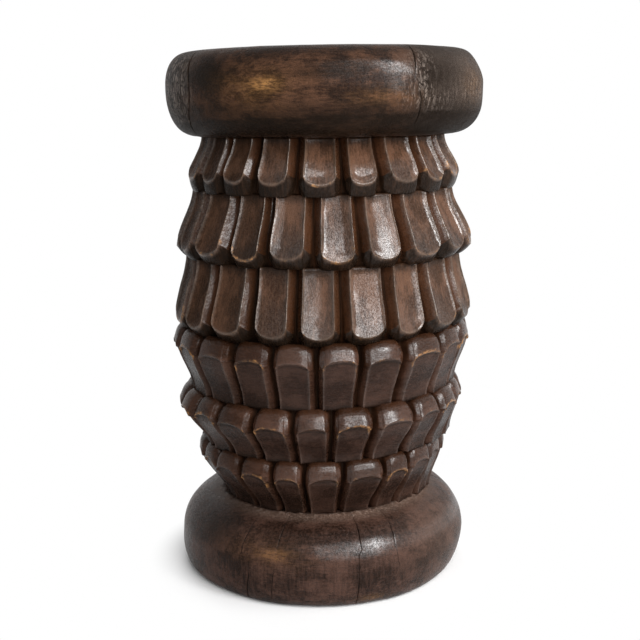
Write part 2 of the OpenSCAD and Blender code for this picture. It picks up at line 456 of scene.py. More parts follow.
def add_waviness(p):
    """The unevenness of hand carving, which leaves the flat ends where they are."""
    waviness, seed = p.size["Waviness"], p.size["Seed"]
    place = p.place()
    lumps = noise_field(p.tree, place, LUMP_SIZE, seed)
    gouges = noise_field(p.tree, place, GOUGE_SIZE, seed + 3.0)
    wander = noise_field(p.tree, place, WANDER_SIZE, seed + 7.0)
    p.r = p.r + (lumps * LUMP_REACH + gouges * GOUGE_REACH) * waviness
    p.angle = p.angle + wander * waviness * WANDER_AROUND / p.size["Tip radius"]
    on_face = is_over(p.row, CORE_ROWS + 0.5) * (1.0 - p.on_undercut)
    p.s = p.s + wander * waviness * WANDER_ALONG * on_face


def close_ends(p):
    """The spigot or the socket at each end, which closes the block."""
    size = p.size
    neck_s = size["Neck core rise"] * (1.0 - is_over(p.row, CORE_ROWS - 1.5))
    neck_r = size["Neck core radius"] * is_over(p.row, 0.5)
    in_neck = 1.0 - is_over(p.row, CORE_ROWS - 0.5)
    end_s = size["Height"] + size["End core rise"] * is_over(p.row, UNDERCUT_END + 1.5)
    end_r = size["End core radius"] * (1.0 - is_over(p.row, ROW_COUNT - 1.5))
    in_end = is_over(p.row, UNDERCUT_END + 0.5)
    p.r = blend(blend(p.r, neck_r, in_neck), end_r, in_end)
    p.s = blend(blend(p.s, neck_s, in_neck), end_s, in_end)
    p.hidden = larger(in_neck, in_end)


def point_masks(p):
    """Masks for the finish, and the distances in metres along and across the leaf."""
    size = p.size
    bevel_length = size["Bevel height"] * 1.2
    across_arris = (p.from_middle - p.face_share) * p.half_pitch
    to_end = (1.0 - p.along) * p.tip_level
    outside = is_over(across_arris, 0.0)
    to_arris = blend(smaller(abs(across_arris), to_end), abs(across_arris), outside)
    to_arris = blend(to_arris, p.down * bevel_length + larger(across_arris, 0.0), p.on_bevel)
    across_edge = abs(p.from_middle - size["Flank share"]) * p.half_pitch
    to_edge = blend(across_edge, smaller(across_edge, (1.0 - p.down) * bevel_length), p.on_bevel)
    amber_reach = size["Hangs"] * 1.2 * MM + 3.2 * MM
    shown = 1.0 - p.hidden
    return {
        "arris": near(to_arris, size["Arris round"] * 6.0) * shown,
        "edge": near(to_edge, size["Arris round"] * 3.0) * shown,
        "groove": larger(p.in_groove, larger(p.on_undercut, p.hidden)),
        # Near the neck, where the next tier reaches over the leaf: the leaves darken this as
        # painted shade
        "root": 1.0 - rise(p.s, 1.5 * MM, 8 * MM),
        "bevel": p.on_bevel,
        "flank": p.flank * (1.0 - p.on_bevel),
        "tone": p.mark("tone", p.leaf),
        "gold": p.mark("gold", p.leaf),
        "along": p.s / size["Height"],
        "amber": near(to_arris, amber_reach) * rise(p.along, 0.66, 0.94) * shown,
        "rubbed": larger(rise(p.in_face, 0.5, 1.0) * 0.8, rise(p.along, 0.32, 0.88)),
        # A painted shadow line, with some dirt, just under the lip over a standing face
        "lip_shadow_and_dirt": near(to_end - 2.6 * MM, 1.6 * MM) * (1.0 - p.on_bevel) * shown,
        "run": p.s,
        "offset": p.offset,
    }


LEAF_STEPS = (number_point, lay_across, shape_face, shape_end, cut_groove, cut_undercut,
              add_waviness, close_ends)


def build_ring_tree():
    """Geometry Nodes that carve one ring: a sheet of points is bent into a closed block."""
    tree = bpy.data.node_groups.new("Carved leaf ring", "GeometryNodeTree")

    def add_socket(name, kind, way="INPUT"):
        tree.interface.new_socket(name, in_out=way, socket_type=kind)

    add_socket("Leaf marks", "NodeSocketGeometry")
    add_socket("Leaves", "NodeSocketInt")
    for name in RING_NUMBERS:
        add_socket(name, "NodeSocketFloat")
    add_socket("Wood", "NodeSocketMaterial")
    add_socket("Ring", "NodeSocketGeometry", "OUTPUT")
    given = tree.nodes.new("NodeGroupInput")
    point = LeafPoint(tree, given)
    for step in LEAF_STEPS:
        step(point)

    grid = tree.nodes.new("GeometryNodeMeshGrid")
    connect(tree, point.size["Leaves"] * float(2 * HALF_COLUMNS) + 1.0, grid.inputs["Vertices X"])
    grid.inputs["Vertices Y"].default_value = ROW_COUNT

    def pass_through(geometry, kind):
        """A node that takes in the geometry made so far."""
        node = tree.nodes.new(kind)
        tree.links.new(geometry, node.inputs["Geometry"])
        return node, node.outputs["Geometry"]

    geometry = grid.outputs["Mesh"]
    for name, mask in point_masks(point).items():
        store, geometry = pass_through(geometry, "GeometryNodeStoreNamedAttribute")
        store.data_type = "FLOAT"
        store.domain = "POINT"
        store.inputs["Name"].default_value = name
        connect(tree, mask, store.inputs["Value"])
    put, geometry = pass_through(geometry, "GeometryNodeSetPosition")
    tree.links.new(point.place(), put.inputs["Position"])
    weld, geometry = pass_through(geometry, "GeometryNodeMergeByDistance")
    weld.inputs["Distance"].default_value = WELD_DISTANCE
    _, geometry = pass_through(geometry, "GeometryNodeSetShadeSmooth")
    _, geometry = pass_through(geometry, "GeometryNodeRealizeInstances")
    finish, geometry = pass_through(geometry, "GeometryNodeSetMaterial")
    tree.links.new(given.outputs["Wood"], finish.inputs["Material"])
    result = tree.nodes.new("NodeGroupOutput")
    tree.links.new(geometry, result.inputs["Ring"])
    return tree


# How far a groove strays from its even place, as a share of the pitch, and how each leaf strays
# from its ring's shape: the least and the most, and their unit
GROOVE_STRAY = 0.07
LEAF_STRAYS = {
    "tip_shift": (-1.6, 0.8, MM), "tip_reach": (-0.6, 2.4, MM), "face_bias": (-0.04, 0.04, 1),
    "end_skew": (-1.6, 1.6, MM), "hollow": (0.6, 1.3, 1), "roll": (-0.05, 0.05, 1),
    "tone": (0, 1, 1), "gold": (0, 1, 1),
}


def leaf_marks(name, ring):
    """A point for each leaf of a ring, with what the carver's hand did to it."""
    rng = random.Random(name)
    count = ring["leaves"]
    pitch = 360 / count
    marks = {mark: [0.0] * count for mark in ["groove_shift", "neck_reach", *LEAF_STRAYS]}
    for leaf in range(count):
        nominal = ring["first"] + leaf * pitch
        shift = rng.uniform(-GROOVE_STRAY, GROOVE_STRAY) * pitch
        for cut in ring["cuts"]:
            miss = (cut - nominal + 180) % 360 - 180
            if abs(miss) < pitch / 2:
                shift = miss
        marks["groove_shift"][leaf] = math.radians(shift)
        for mark, (least, most, unit) in LEAF_STRAYS.items():
            marks[mark][leaf] = rng.uniform(least, most) * unit
        sideways = math.sin(math.radians(nominal + pitch / 2))
        side = 1 if sideways > 0 else 0
        marks["tip_reach"][leaf] += ring["tip_sides"][side] * abs(sideways) ** 3 * MM
        marks["neck_reach"][leaf] = ring["neck_sides"][side] * abs(sideways) ** 3 * MM
    mesh = bpy.data.meshes.new(name + "_marks")
    mesh.from_pydata([(leaf * MM, 0, 0) for leaf in range(count)], [], [])
    for mark, values in marks.items():
        mesh.attributes.new(mark, "FLOAT", "POINT").data.foreach_set("value", values)
    return mesh


# How far the stool leans up to its right, as rise over run, at heights above the floor
LEAN_HEIGHTS = [0.0, 0.032, 0.070, 0.121, 0.168, 0.222, 0.282, 0.336, 0.382, 0.450]
LEAN_SLOPES = [0.0, 0.004, 0.026, 0.031, 0.030, 0.022, 0.016, 0.014, 0.009, 0.015]
# How far the hand-cut tiers lie under the even heights of the frame, in millimetres
TIER_DROPS = [0.0, 0.0, 0.3, 1.0, 1.2, 1.0, 1.3, 0.0, 2.6, 1.3]


def settle(mesh):
    """Gives a finished block the lean and the unevenness of the hand-made stool."""
    points = np.empty(len(mesh.vertices) * 3)
    mesh.vertices.foreach_get("co", points)
    points = points.reshape(-1, 3)
    height = points[:, 2].copy()
    slope = np.interp(height, LEAN_HEIGHTS, LEAN_SLOPES)
    sink = np.interp(height, LEAN_HEIGHTS, TIER_DROPS) * MM
    points[:, 2] = np.minimum(height + slope * points[:, 0] - sink, cad_high.z)
    reach = np.linalg.norm(points[:, :2], axis=1)
    points[:, :2] *= np.minimum(1, cad_high.x / np.maximum(reach, 1e-9))[:, None]
    mesh.vertices.foreach_set("co", points.reshape(-1))
    mesh.update()


def dress(mesh, name, node):
    """Puts a finished block in the scene as the piece that stands for a node of the frame."""
    settle(mesh)
    piece = bpy.data.objects.new(name, mesh)
    bpy.context.scene.collection.objects.link(piece)
    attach(piece, "root")
    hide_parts(node)


def check_outward(mesh):
    """Stops if a block's faces point inwards."""
    mesh.calc_loop_triangles()
    corners = np.empty(len(mesh.loop_triangles) * 3, dtype=np.int32)
    mesh.loop_triangles.foreach_get("vertices", corners)
    points = np.empty(len(mesh.vertices) * 3)
    mesh.vertices.foreach_get("co", points)
    a, b, c = points.reshape(-1, 3)[corners.reshape(-1, 3)].transpose(1, 0, 2)
    volume = np.einsum("ij,ij->i", a, np.cross(b, c)).sum() / 6
    if volume <= 0:
        raise RuntimeError("%s is inside out: its volume is %.6f" % (mesh.name, volume))


# How far a block's end lies inside the neck of the next one, in millimetres
HANGING_SETBACK = 1
STANDING_SETBACK = 3

# Shares that only the carving uses: how much of the face's hollow fades out at its end, how much
# of the flanks' slope the bevelled end keeps, how far the flanks run on past the face for each
# unit of width, and how much of the end crown the ends take
HANGING_SHARES = {"Spoon": 0.95, "End flank": 0.6, "Flank return": 0.9}
STANDING_SHARES = {"Spoon": 0.3, "End flank": 0.3, "Flank return": 0.1}
HANGING_CROWN = 0.5
STANDING_CROWN = 1.0


def end_radius(name):
    """Radius of the flat end where a ring's leaves overhang the next block, in metres."""
    if name in ("leaf_ring_3", "leaf_ring_4"):
        return WAIST_RADIUS
    place = RING_NAMES.index(name)
    if RINGS[name]["hangs"]:
        return (RINGS[RING_NAMES[place + 1]]["neck"] - HANGING_SETBACK) * MM
    return (RINGS[RING_NAMES[place - 1]]["neck"] - STANDING_SETBACK) * MM


def ring_values(name, sizes, material):
    """What one ring puts into the ring tree's inputs."""
    ring = RINGS[name]
    hangs = ring["hangs"]
    base, top = BLOCK_BASE[name], BLOCK_TOP[name]
    hole = SPIGOT_HEIGHT + GLUE_GAP
    spigot = (-SPIGOT_HEIGHT if hangs else SPIGOT_HEIGHT, SPIGOT_RADIUS)
    socket = (-hole if hangs else hole, SPIGOT_RADIUS + GLUE_GAP)
    neck_core, end_core = (spigot, socket) if hangs else (socket, spigot)

    def own(size):
        """A size of the hanging or of the standing leaves."""
        return getattr(sizes, ("hanging_" if hangs else "standing_") + size)

    return {
        "Leaves": ring["leaves"], "First groove": math.radians(ring["first"]),
        "Hangs": 1.0 if hangs else 0.0, "Neck level": top if hangs else base,
        "Height": top - base, "Neck radius": ring["neck"] * MM, "Tip radius": ring["tip"] * MM,
        "End radius": end_radius(name), "Bevel height": ring["bevel"] * MM,
        "Face share": own("face"), "Flank share": own("flank"), "Face hollow": own("hollow"),
        "Flank drop": own("drop"), "Bevel bulge": own("bulge"), "Face round": own("round"),
        "Rim": own("rim"), "Lip": own("lip"), **(HANGING_SHARES if hangs else STANDING_SHARES),
        "End crown": sizes.end_crown * (HANGING_CROWN if hangs else STANDING_CROWN),
        "Groove share": sizes.groove_share, "Groove depth": sizes.groove_depth,
        "Groove tip depth": sizes.groove_tip_depth, "End round": sizes.end_round,
        "End taper": sizes.end_taper, "Step": sizes.tip_step, "Overhang": sizes.overhang,
        "Undercut": sizes.undercut, "Arris round": sizes.arris_round,
        "Waviness": sizes.waviness, "Neck core rise": neck_core[0],
        "Neck core radius": neck_core[1], "End core rise": end_core[0],
        "End core radius": end_core[1], "Seed": float(RING_NAMES.index(name)), "Wood": material,
    }


def carve_ring(tree, name, sizes, material):
    """One ring of leaves, carved by the node tree and turned into a plain mesh."""
    ring = RINGS[name]
    carrier = bpy.data.objects.new(name + "_marks", leaf_marks(name, ring))
    bpy.context.scene.collection.objects.link(carrier)
    modifier = carrier.modifiers.new("Carve", "NODES")
    modifier.node_group = tree
    sockets = {item.name: item.identifier for item in tree.interface.items_tree
               if item.item_type == "SOCKET" and item.in_out == "INPUT"}
    for key, value in ring_values(name, sizes, material).items():
        modifier[sockets[key]] = value
    evaluated = carrier.evaluated_get(bpy.context.evaluated_depsgraph_get())
    mesh = bpy.data.meshes.new_from_object(evaluated)
    mesh.name = "carved_" + name
    bpy.data.objects.remove(carrier)
    if ring["hangs"]:
        mesh.flip_normals()
    check_outward(mesh)
    return mesh


# Drying cracks of the seat and the foot. Each follows points of (azimuth in degrees, height in
# millimetres, share of its full width). Its width and depth are in millimetres, and wander is
# how far its line strays, in degrees.
SEAT_CRACKS = [
    dict(width=0.9, depth=2.2, wander=0.5, points=[
        (-55, 449, 0), (-53, 444, 1), (-51, 424, 1), (-50.8, 414, 0.8), (-54, 399, 1),
        (-57, 386, 0.6)]),
    dict(width=0.8, depth=2.0, wander=0.3, points=[
        (32.2, 449.5, 0.6), (32, 442, 1), (30.6, 425, 0.3), (31.4, 419, 0), (33.0, 415, 0.5),
        (33.5, 404, 0.9), (33.3, 392, 0.6)]),
    dict(width=0.9, depth=2.0, wander=0.8, points=[
        (110, 448, 0.3), (112, 440, 1), (109, 412, 0.8), (113, 388, 0.5)]),
    dict(width=0.8, depth=1.8, wander=0.7, points=[
        (176, 449, 0.4), (177, 438, 1), (178, 418, 0.6), (176, 408, 0)]),
    dict(width=0.8, depth=1.8, wander=0.8, points=[
        (-130, 436, 0), (-128, 424, 0.9), (-126, 400, 1), (-128, 386, 0.6)]),
]
FOOT_CRACKS = [
    dict(width=0.55, depth=1.0, wander=0.25, points=[
        (-32.5, 69, 0.4), (-32.4, 60, 1), (-33, 45, 0.6), (-31.5, 38, 0), (-29.4, 31, 0),
        (-28.9, 26, 0.8), (-30.0, 14, 1), (-30.7, 2, 1)]),
    dict(width=0.5, depth=0.9, wander=0.25, points=[
        (-16.8, 68, 0.4), (-17.2, 62, 1), (-17.8, 54, 0.4), (-18, 48, 0), (-18.4, 36, 0),
        (-18.6, 30, 0.7), (-19.3, 16, 0.8), (-19.9, 5, 0.4)]),
    dict(width=0.4, depth=1.4, wander=0.25, points=[
        (15.2, 69, 0.5), (15.3, 62, 1), (15.4, 50, 0.8), (13.9, 47, 0.7), (13.9, 30, 0.7),
        (13.6, 16, 1), (13.5, 3, 1)]),
    dict(width=0.38, depth=1.3, wander=0.3, points=[
        (30.8, 69, 0.5), (30.3, 60, 1), (29.7, 50, 0.9), (30.1, 36, 0.5), (30.2, 31, 0)]),
    dict(width=0.8, depth=1.8, wander=0.6, points=[
        (96, 68, 0.5), (95, 50, 1), (94, 24, 0.8), (95, 6, 0.5)]),
    dict(width=0.7, depth=1.5, wander=0.5, points=[
        (148, 67, 0.5), (149, 54, 1), (150, 36, 0.2)]),
    dict(width=0.8, depth=1.8, wander=0.6, points=[
        (-170, 68, 0.5), (-171, 48, 1), (-172, 22, 0.7), (-171, 5, 0.5)]),
    dict(width=0.6, depth=1.4, wander=0.5, points=[
        (-104, 62, 0.2), (-105, 40, 0.9), (-106, 12, 0.4)]),
]

# Columns of points around a turned block. Those along a crack crowd within a reach in degrees,
# at shares of it, and the ones beside them bend with the crack as far as the follow, in degrees.
TURNED_COLUMNS = 420
CRACK_REACH = 1.5
CRACK_COLUMNS = [-1, -0.6, -0.36, -0.2, -0.1, 0, 0.1, 0.2, 0.36, 0.6, 1]
CRACK_FOLLOW = 9


def quarter(rim, flat, height, fullness, count):
    """(radius, height) along a rounded edge, from its rim to its flat, as a superellipse."""
    points = []
    for step in range(count + 1):
        turn = math.pi / 2 * step / count
        points.append((flat + (rim - flat) * max(math.cos(turn), 0) ** (2 / fullness),
                       height * math.sin(turn) ** (2 / fullness)))
    return points


def crack_columns(cracks):
    """Azimuths of the columns of points, and the middle azimuth of every crack."""
    reach = math.radians(CRACK_REACH)
    middles = [math.radians(np.mean([point[0] for point in crack["points"]])) for crack in cracks]
    azimuths = []
    for number in range(TURNED_COLUMNS):
        azimuth = FULL_TURN * (number + 0.5) / TURNED_COLUMNS - math.pi
        if all(abs(azimuth - middle) > reach * 1.2 for middle in middles):
            azimuths.append(azimuth)
    for middle in middles:
        azimuths += [middle + offset * reach for offset in CRACK_COLUMNS]
    return np.array(sorted(azimuths)), middles


def crack_jitter(number, height):
    """How a crack's line strays at each height, from about -1.6 to 1.6."""
    return np.array([noise.noise(Vector((number * 9.1, level * 120, 0.3)))
                     + 0.6 * noise.noise(Vector((number * 5.3, level * 420, 1.7)))
                     for level in height])


def cut_cracks(cracks, azimuths, middles, radius, height):
    """Bends the columns along the cracks, and gives their depth and dark mask at each point."""
    azimuth_grid = np.repeat(azimuths[None, :], len(height), axis=0)
    depth = np.zeros(azimuth_grid.shape)
    mask = np.zeros(azimuth_grid.shape)
    reach = math.radians(CRACK_REACH)
    for number, (crack, middle) in enumerate(zip(cracks, middles)):
        points = sorted(crack["points"], key=lambda point: point[1])
        levels = [point[1] * MM for point in points]
        line = np.radians(np.interp(height, levels, [point[0] for point in points])) - middle
        strength = np.interp(height, levels, [point[2] for point in points], left=0)
        # A crack fades out towards the axis
        strength *= np.clip(radius / radius.max() * 2.6 - 1.2, 0, 1)
        line += np.radians(crack["wander"] * crack_jitter(number, height))
        away = np.abs(azimuths - middle)
        follow = np.clip(1 - (away - reach) / math.radians(CRACK_FOLLOW), 0, 1)
        azimuth_grid += line[:, None] * follow[None, :]
        distance = away[None, :] * radius[:, None] / MM
        width = crack["width"] * np.maximum(strength, 0.2)[:, None]
        depth += np.clip(1 - distance / width, 0, 1) * strength[:, None] * crack["depth"] * MM
        dark = np.clip(1.2 - distance / width, 0, 1) * np.clip(strength * 2, 0, 1)[:, None]
        mask = np.maximum(mask, dark)
    return azimuth_grid, depth, mask


def turned_faces(rows, wide):
    """Faces over rows of points around the axis, closed by a pole at the bottom and the top."""
    faces = []
    for row in range(rows - 1):
        for column in range(wide):
            a, b = row * wide + column, row * wide + (column + 1) % wide
            faces.append((a, b, b + wide, a + wide))
    low_pole, high_pole = rows * wide, rows * wide + 1
    last = (rows - 1) * wide
    for column in range(wide):
        following = (column + 1) % wide
        faces.append((low_pole, following, column))
        faces.append((high_pole, last + column, last + following))
    return faces


def turned_mesh(name, path, cracks, shape, bend, masks):
    """A closed turned block from a path of (radius, height) that starts and ends on the axis.

    shape(azimuth, radius, height, up) lifts the plain surface along its normal, and
    bend(azimuth, radius, height) moves it outwards. masks(azimuth, height, radius) gives the
    masks to paint on it, by name.
    """
    azimuths, middles = crack_columns(cracks)
    path = np.array(path)
    radius, height = path[:, 0], path[:, 1]
    tangent = np.gradient(path, axis=0)
    normal = np.stack([tangent[:, 1], -tangent[:, 0]], axis=1)
    normal /= np.maximum(np.linalg.norm(normal, axis=1, keepdims=True), 1e-9)
    azimuth_grid, depth, crack = cut_cracks(cracks, azimuths, middles, radius, height)

    rows, wide = azimuth_grid.shape

    def spread(column):
        return np.repeat(column[:, None], wide, axis=1)

    along, level = spread(radius), spread(height)
    out_x, out_z = spread(normal[:, 0]), spread(normal[:, 1])
    lift = shape(azimuth_grid, along, level, out_z) - depth
    final_r = np.maximum(along + bend(azimuth_grid, along, level) + out_x * lift, 0)
    final_z = level + out_z * lift
    x, y = final_r * np.sin(azimuth_grid), -final_r * np.cos(azimuth_grid)

    def with_poles(grid):
        """The values of all rows but the first and last, which become one point each."""
        inner = grid[1:-1].reshape(-1, grid.shape[2])
        return np.concatenate([inner, [grid[0].mean(axis=0), grid[-1].mean(axis=0)]])

    points = with_poles(np.stack([x, y, final_z], axis=2))
    mesh = bpy.data.meshes.new(name)
    mesh.from_pydata(points.tolist(), [], turned_faces(rows - 2, wide))
    mesh.polygons.foreach_set("use_smooth", [True] * len(mesh.polygons))
    for mask, grid in {"crack": crack, **masks(azimuth_grid, final_z, final_r)}.items():
        values = with_poles(grid[:, :, None]).reshape(-1)
        mesh.attributes.new(mask, "FLOAT", "POINT").data.foreach_set("value", values)
    mesh.update()
    check_outward(mesh)
    return mesh


def lumps(azimuth, along, level, size, seed):
    """Smooth noise on the surface of a turned block, about -1 to 1."""
    x, y = along * np.sin(azimuth) / size, -along * np.cos(azimuth) / size
    z = level / size
    flat = [noise.noise(Vector((a, b, c + seed))) for a, b, c in
            zip(x.reshape(-1), y.reshape(-1), z.reshape(-1))]
    return np.array(flat).reshape(azimuth.shape)


# How far the uneven skin of a turned block lies under its plain shape, in millimetres, and the
# sizes of its lumps in metres
SKIN_DEPTH = 0.35
SEAT_LUMPS = 0.045
FOOT_LUMPS = 0.05
FINE_LUMPS = 0.012
CRUMB_SIZE = 0.005
# Places in the noise for the seat, the foot and the foot's crumbled lip
SEAT_SEED = 2.0
FOOT_SEED = 12.0
CRUMB_SEED = 18.0
# How far the seat's top is hollowed and its right shoulder worn down, in millimetres, and how
# much fuller its underside is on the right and how much narrower its edge on the left
SEAT_HOLLOW = 0.8
SHOULDER_WEAR = 10
SEAT_FULLER = 14 * MM
SEAT_NARROWER = 2.2 * MM
# How far the foot's lip stands out and how crumbled it is, in millimetres, and how much fuller
# the foot's toe is on the right
LIP_HEIGHT = 1.2
LIP_CRUMBS = 1.4
FOOT_FULLER = 1.2 * MM


def hand_skin(azimuth, along, level, size, fine, seed):
    """A hand-finished surface, in millimetres: lumps of a size in metres, and fine ones."""
    return (lumps(azimuth, along, level, size, seed) * 0.9
            + lumps(azimuth, along, level, FINE_LUMPS, seed + 3.0) * fine)


def past(value, start, width):
    """Goes from 0 to 1 as value comes past start, over about four widths."""
    return 1 / (1 + np.exp((start - value) / width))


def before(value, end, width):
    """Goes from 1 to 0 as value comes past end, over about four widths."""
    return 1 / (1 + np.exp((value - end) / width))


# Soft oval patches on the sides of the seat and the foot: how strong each one is, its azimuth
# in degrees, its height above the floor, and how far it reaches sideways and up, in metres
SEAT_BROWN = [(0.35, 66, 0.420, 0.026, 0.022)]
SEAT_WRINKLED = [
    (0.75, 35, 0.432, 0.012, 0.012), (0.60, 32, 0.418, 0.014, 0.008),
    (0.525, 38, 0.406, 0.02, 0.008), (0.3, 66, 0.416, 0.036, 0.016),
]
SEAT_GOLD = [
    (1.0, -19, 0.4215, 0.011, 0.004), (0.22, -23, 0.419, 0.030, 0.013),
    (0.12, 20, 0.412, 0.03, 0.006), (0.5, 150, 0.42, 0.04, 0.012),
    (0.18, 64, 0.42, 0.02, 0.012), (0.4, -120, 0.424, 0.03, 0.012),
]
SEAT_DARK = [
    (1.1, -42, 0.430, 0.026, 0.014), (0.7, 42, 0.428, 0.03, 0.016),
    (0.6, -2, 0.428, 0.03, 0.004), (0.5, 22, 0.417, 0.03, 0.003),
    (0.5, 10, 0.434, 0.04, 0.006), (0.5, 120, 0.41, 0.05, 0.02),
    (0.5, -100, 0.43, 0.05, 0.012), (0.6, 175, 0.44, 0.08, 0.01),
]
SEAT_POLISHED = [
    (1.0, 28, 0.4265, 0.014, 0.013), (0.3, 22, 0.436, 0.03, 0.005),
    (0.1, 15, 0.425, 0.03, 0.010), (0.6, 150, 0.43, 0.05, 0.012),
]
FOOT_GOLD = [
    (0.5, -19, 0.046, 0.012, 0.004), (0.15, -22, 0.046, 0.04, 0.010),
    (0.5, 20, 0.008, 0.012, 0.003), (0.4, 160, 0.04, 0.04, 0.01),
]
FOOT_DARK = [
    (0.8, -50, 0.055, 0.025, 0.014), (0.3, 60, 0.05, 0.03, 0.008),
    (0.3, 40, 0.03, 0.05, 0.01),
]
FOOT_GREY = [(0.35, 58, 0.045, 0.05, 0.03)]

# The radius at which the patches' sideways reach is measured
SIDE_RADIUS = 0.13


def patches(azimuth, z, table):
    """The sum of the patches of a table, at points with an azimuth in radians and a height."""
    total = 0
    for strength, centre, level, wide, high in table:
        turn = (azimuth - math.radians(centre) + math.pi) % FULL_TURN - math.pi
        away = (turn * SIDE_RADIUS / wide) ** 2 + ((z - level) / high) ** 2
        total = total + strength * np.exp(-away)
    return total


def seat_masks(azimuth, z, r, widest):
    """Masks of the seat's finish, from the azimuth, height and radius of its points."""
    side = np.clip((r - 104 * MM) / (16 * MM), 0, 1)
    # The weathered ends of the grain on the left and the right, but not behind them
    left_end = before(azimuth, -math.radians(52), 0.03)
    right_end = past(azimuth, math.radians(33), 0.03)
    grey = left_end + 1.4 * right_end - patches(azimuth, z, SEAT_BROWN)
    shown = past(azimuth, -2.2, 0.06) * before(azimuth, 1.93, 0.06)
    # The wrinkled left end takes pale wax, which there also stands in for a painted sheen
    wrinkled = before(azimuth, -math.radians(53), 0.04) * past(azimuth, -1.75, 0.09)
    # The dark line round the seat's underside is a painted shadow line; it rises to the right and
    # is strongest in front. The lower part of the underside is darkened too, as painted shade.
    line = 0.3972 + 0.0037 * azimuth
    dark = patches(azimuth, z, [(1.6, -5, line, 0.075, 0.0008)])
    dark = dark + 0.68 * before(z, 0.4085, 0.0022) + 0.28 * before(z, line, 0.0006)
    dark = dark + 0.6 * past(z, 0.4435, 0.0025) * (z < 0.4495)
    dull = np.clip(0.92 - patches(azimuth, z, SEAT_POLISHED), 0, 1)
    return {
        "grey": np.clip(grey, 0, 1.4) * shown * side,
        "gold": patches(azimuth, z, SEAT_GOLD),
        "dark": np.clip(dark + patches(azimuth, z, SEAT_DARK), 0, 1) * side,
        "wrinkled": np.clip(wrinkled + patches(azimuth, z, SEAT_WRINKLED), 0, 1) * side,
        "dull": dull * side + 0.7 * (1 - side),
        "even": (1 - side) * (z > widest),
    }


def turn_seat(sizes):
    """The cushion-shaped seat."""
    base, top = BLOCK_BASE["seat"], BLOCK_TOP["seat"]
    rim, flat = sizes.seat_radius, sizes.seat_flat_radius
    widest = top - sizes.seat_crown
    under_flat = RINGS["leaf_ring_1"]["neck"] * MM + 6 * MM
    crown = quarter(rim, flat, sizes.seat_crown, fullness=2.45, count=26)
    under = quarter(rim, under_flat, widest - base, fullness=2.2, count=26)
    hole = SPIGOT_HEIGHT + GLUE_GAP
    socket_r = SPIGOT_RADIUS + GLUE_GAP
    path = [(0, base + hole), (socket_r, base + hole), (socket_r, base)]
    path += [(socket_r + (under_flat - socket_r) * i / 12, base) for i in range(1, 12)]
    path += [(r, widest - z) for r, z in under[::-1]] + [(r, widest + z) for r, z in crown[1:]]
    path += [(flat * (1 - i / 30), top) for i in range(1, 30)] + [(0, top)]

    def shape(azimuth, along, level, out_z):
        outer = along > socket_r * 1.05
        upper = level > widest
        skin = hand_skin(azimuth, along, level, SEAT_LUMPS, 0.18, SEAT_SEED)
        on_flat = np.clip((out_z - 0.9) * 10, 0, 1)
        sunk = -SEAT_HOLLOW * (1 - np.clip(along / flat, 0, 1) ** 2) * upper
        on_right = np.clip(np.sin(azimuth), 0, 1)
        shoulder = SHOULDER_WEAR * out_z * (1 - out_z) * on_right ** 2 * upper
        return (skin * (1 - 0.7 * on_flat) - SKIN_DEPTH + sunk - shoulder) * MM * outer

    def bend(azimuth, along, level):
        low = np.clip((widest - level) / (widest - base), 0, 1)
        fuller = SEAT_FULLER * np.clip(np.sin(azimuth), 0, 1) * low ** 2 * (1 - low)
        edge = np.clip((along - flat) / (rim - flat), 0, 1)
        narrower = SEAT_NARROWER * np.clip(-np.sin(azimuth), 0, 1) ** 2 * edge
        return fuller * (along > under_flat) - narrower

    def masks(azimuth, z, r):
        return seat_masks(azimuth, z, r, widest)

    return turned_mesh("carved_seat", path, SEAT_CRACKS, shape, bend, masks)


def foot_masks(azimuth, z, r, neck, widest):
    """Masks of the foot's finish, from the azimuth, height and radius of its points."""
    upper = z > widest
    lip = 0.7 * np.exp(-((r - (neck + 5 * MM)) / (6 * MM)) ** 2) * upper
    band = 1.15 * np.exp(-((z - 0.0512) / 0.0045) ** 2)
    right = np.clip((azimuth - math.radians(2)) / math.radians(18), 0.2, 1)
    return {
        "gold": patches(azimuth, z, FOOT_GOLD),
        "dark": np.clip(patches(azimuth, z, FOOT_DARK), 0, 1),
        "grey": np.clip(lip + patches(azimuth, z, FOOT_GREY), 0, 1),
        "wrinkled": 0.3 * np.clip(1 - np.abs(r - (neck + 4 * MM)) / (10 * MM), 0, 1) * upper,
        "dull": np.clip(0.85 - band * right, 0, 1),
        "even": np.zeros(r.shape),
    }


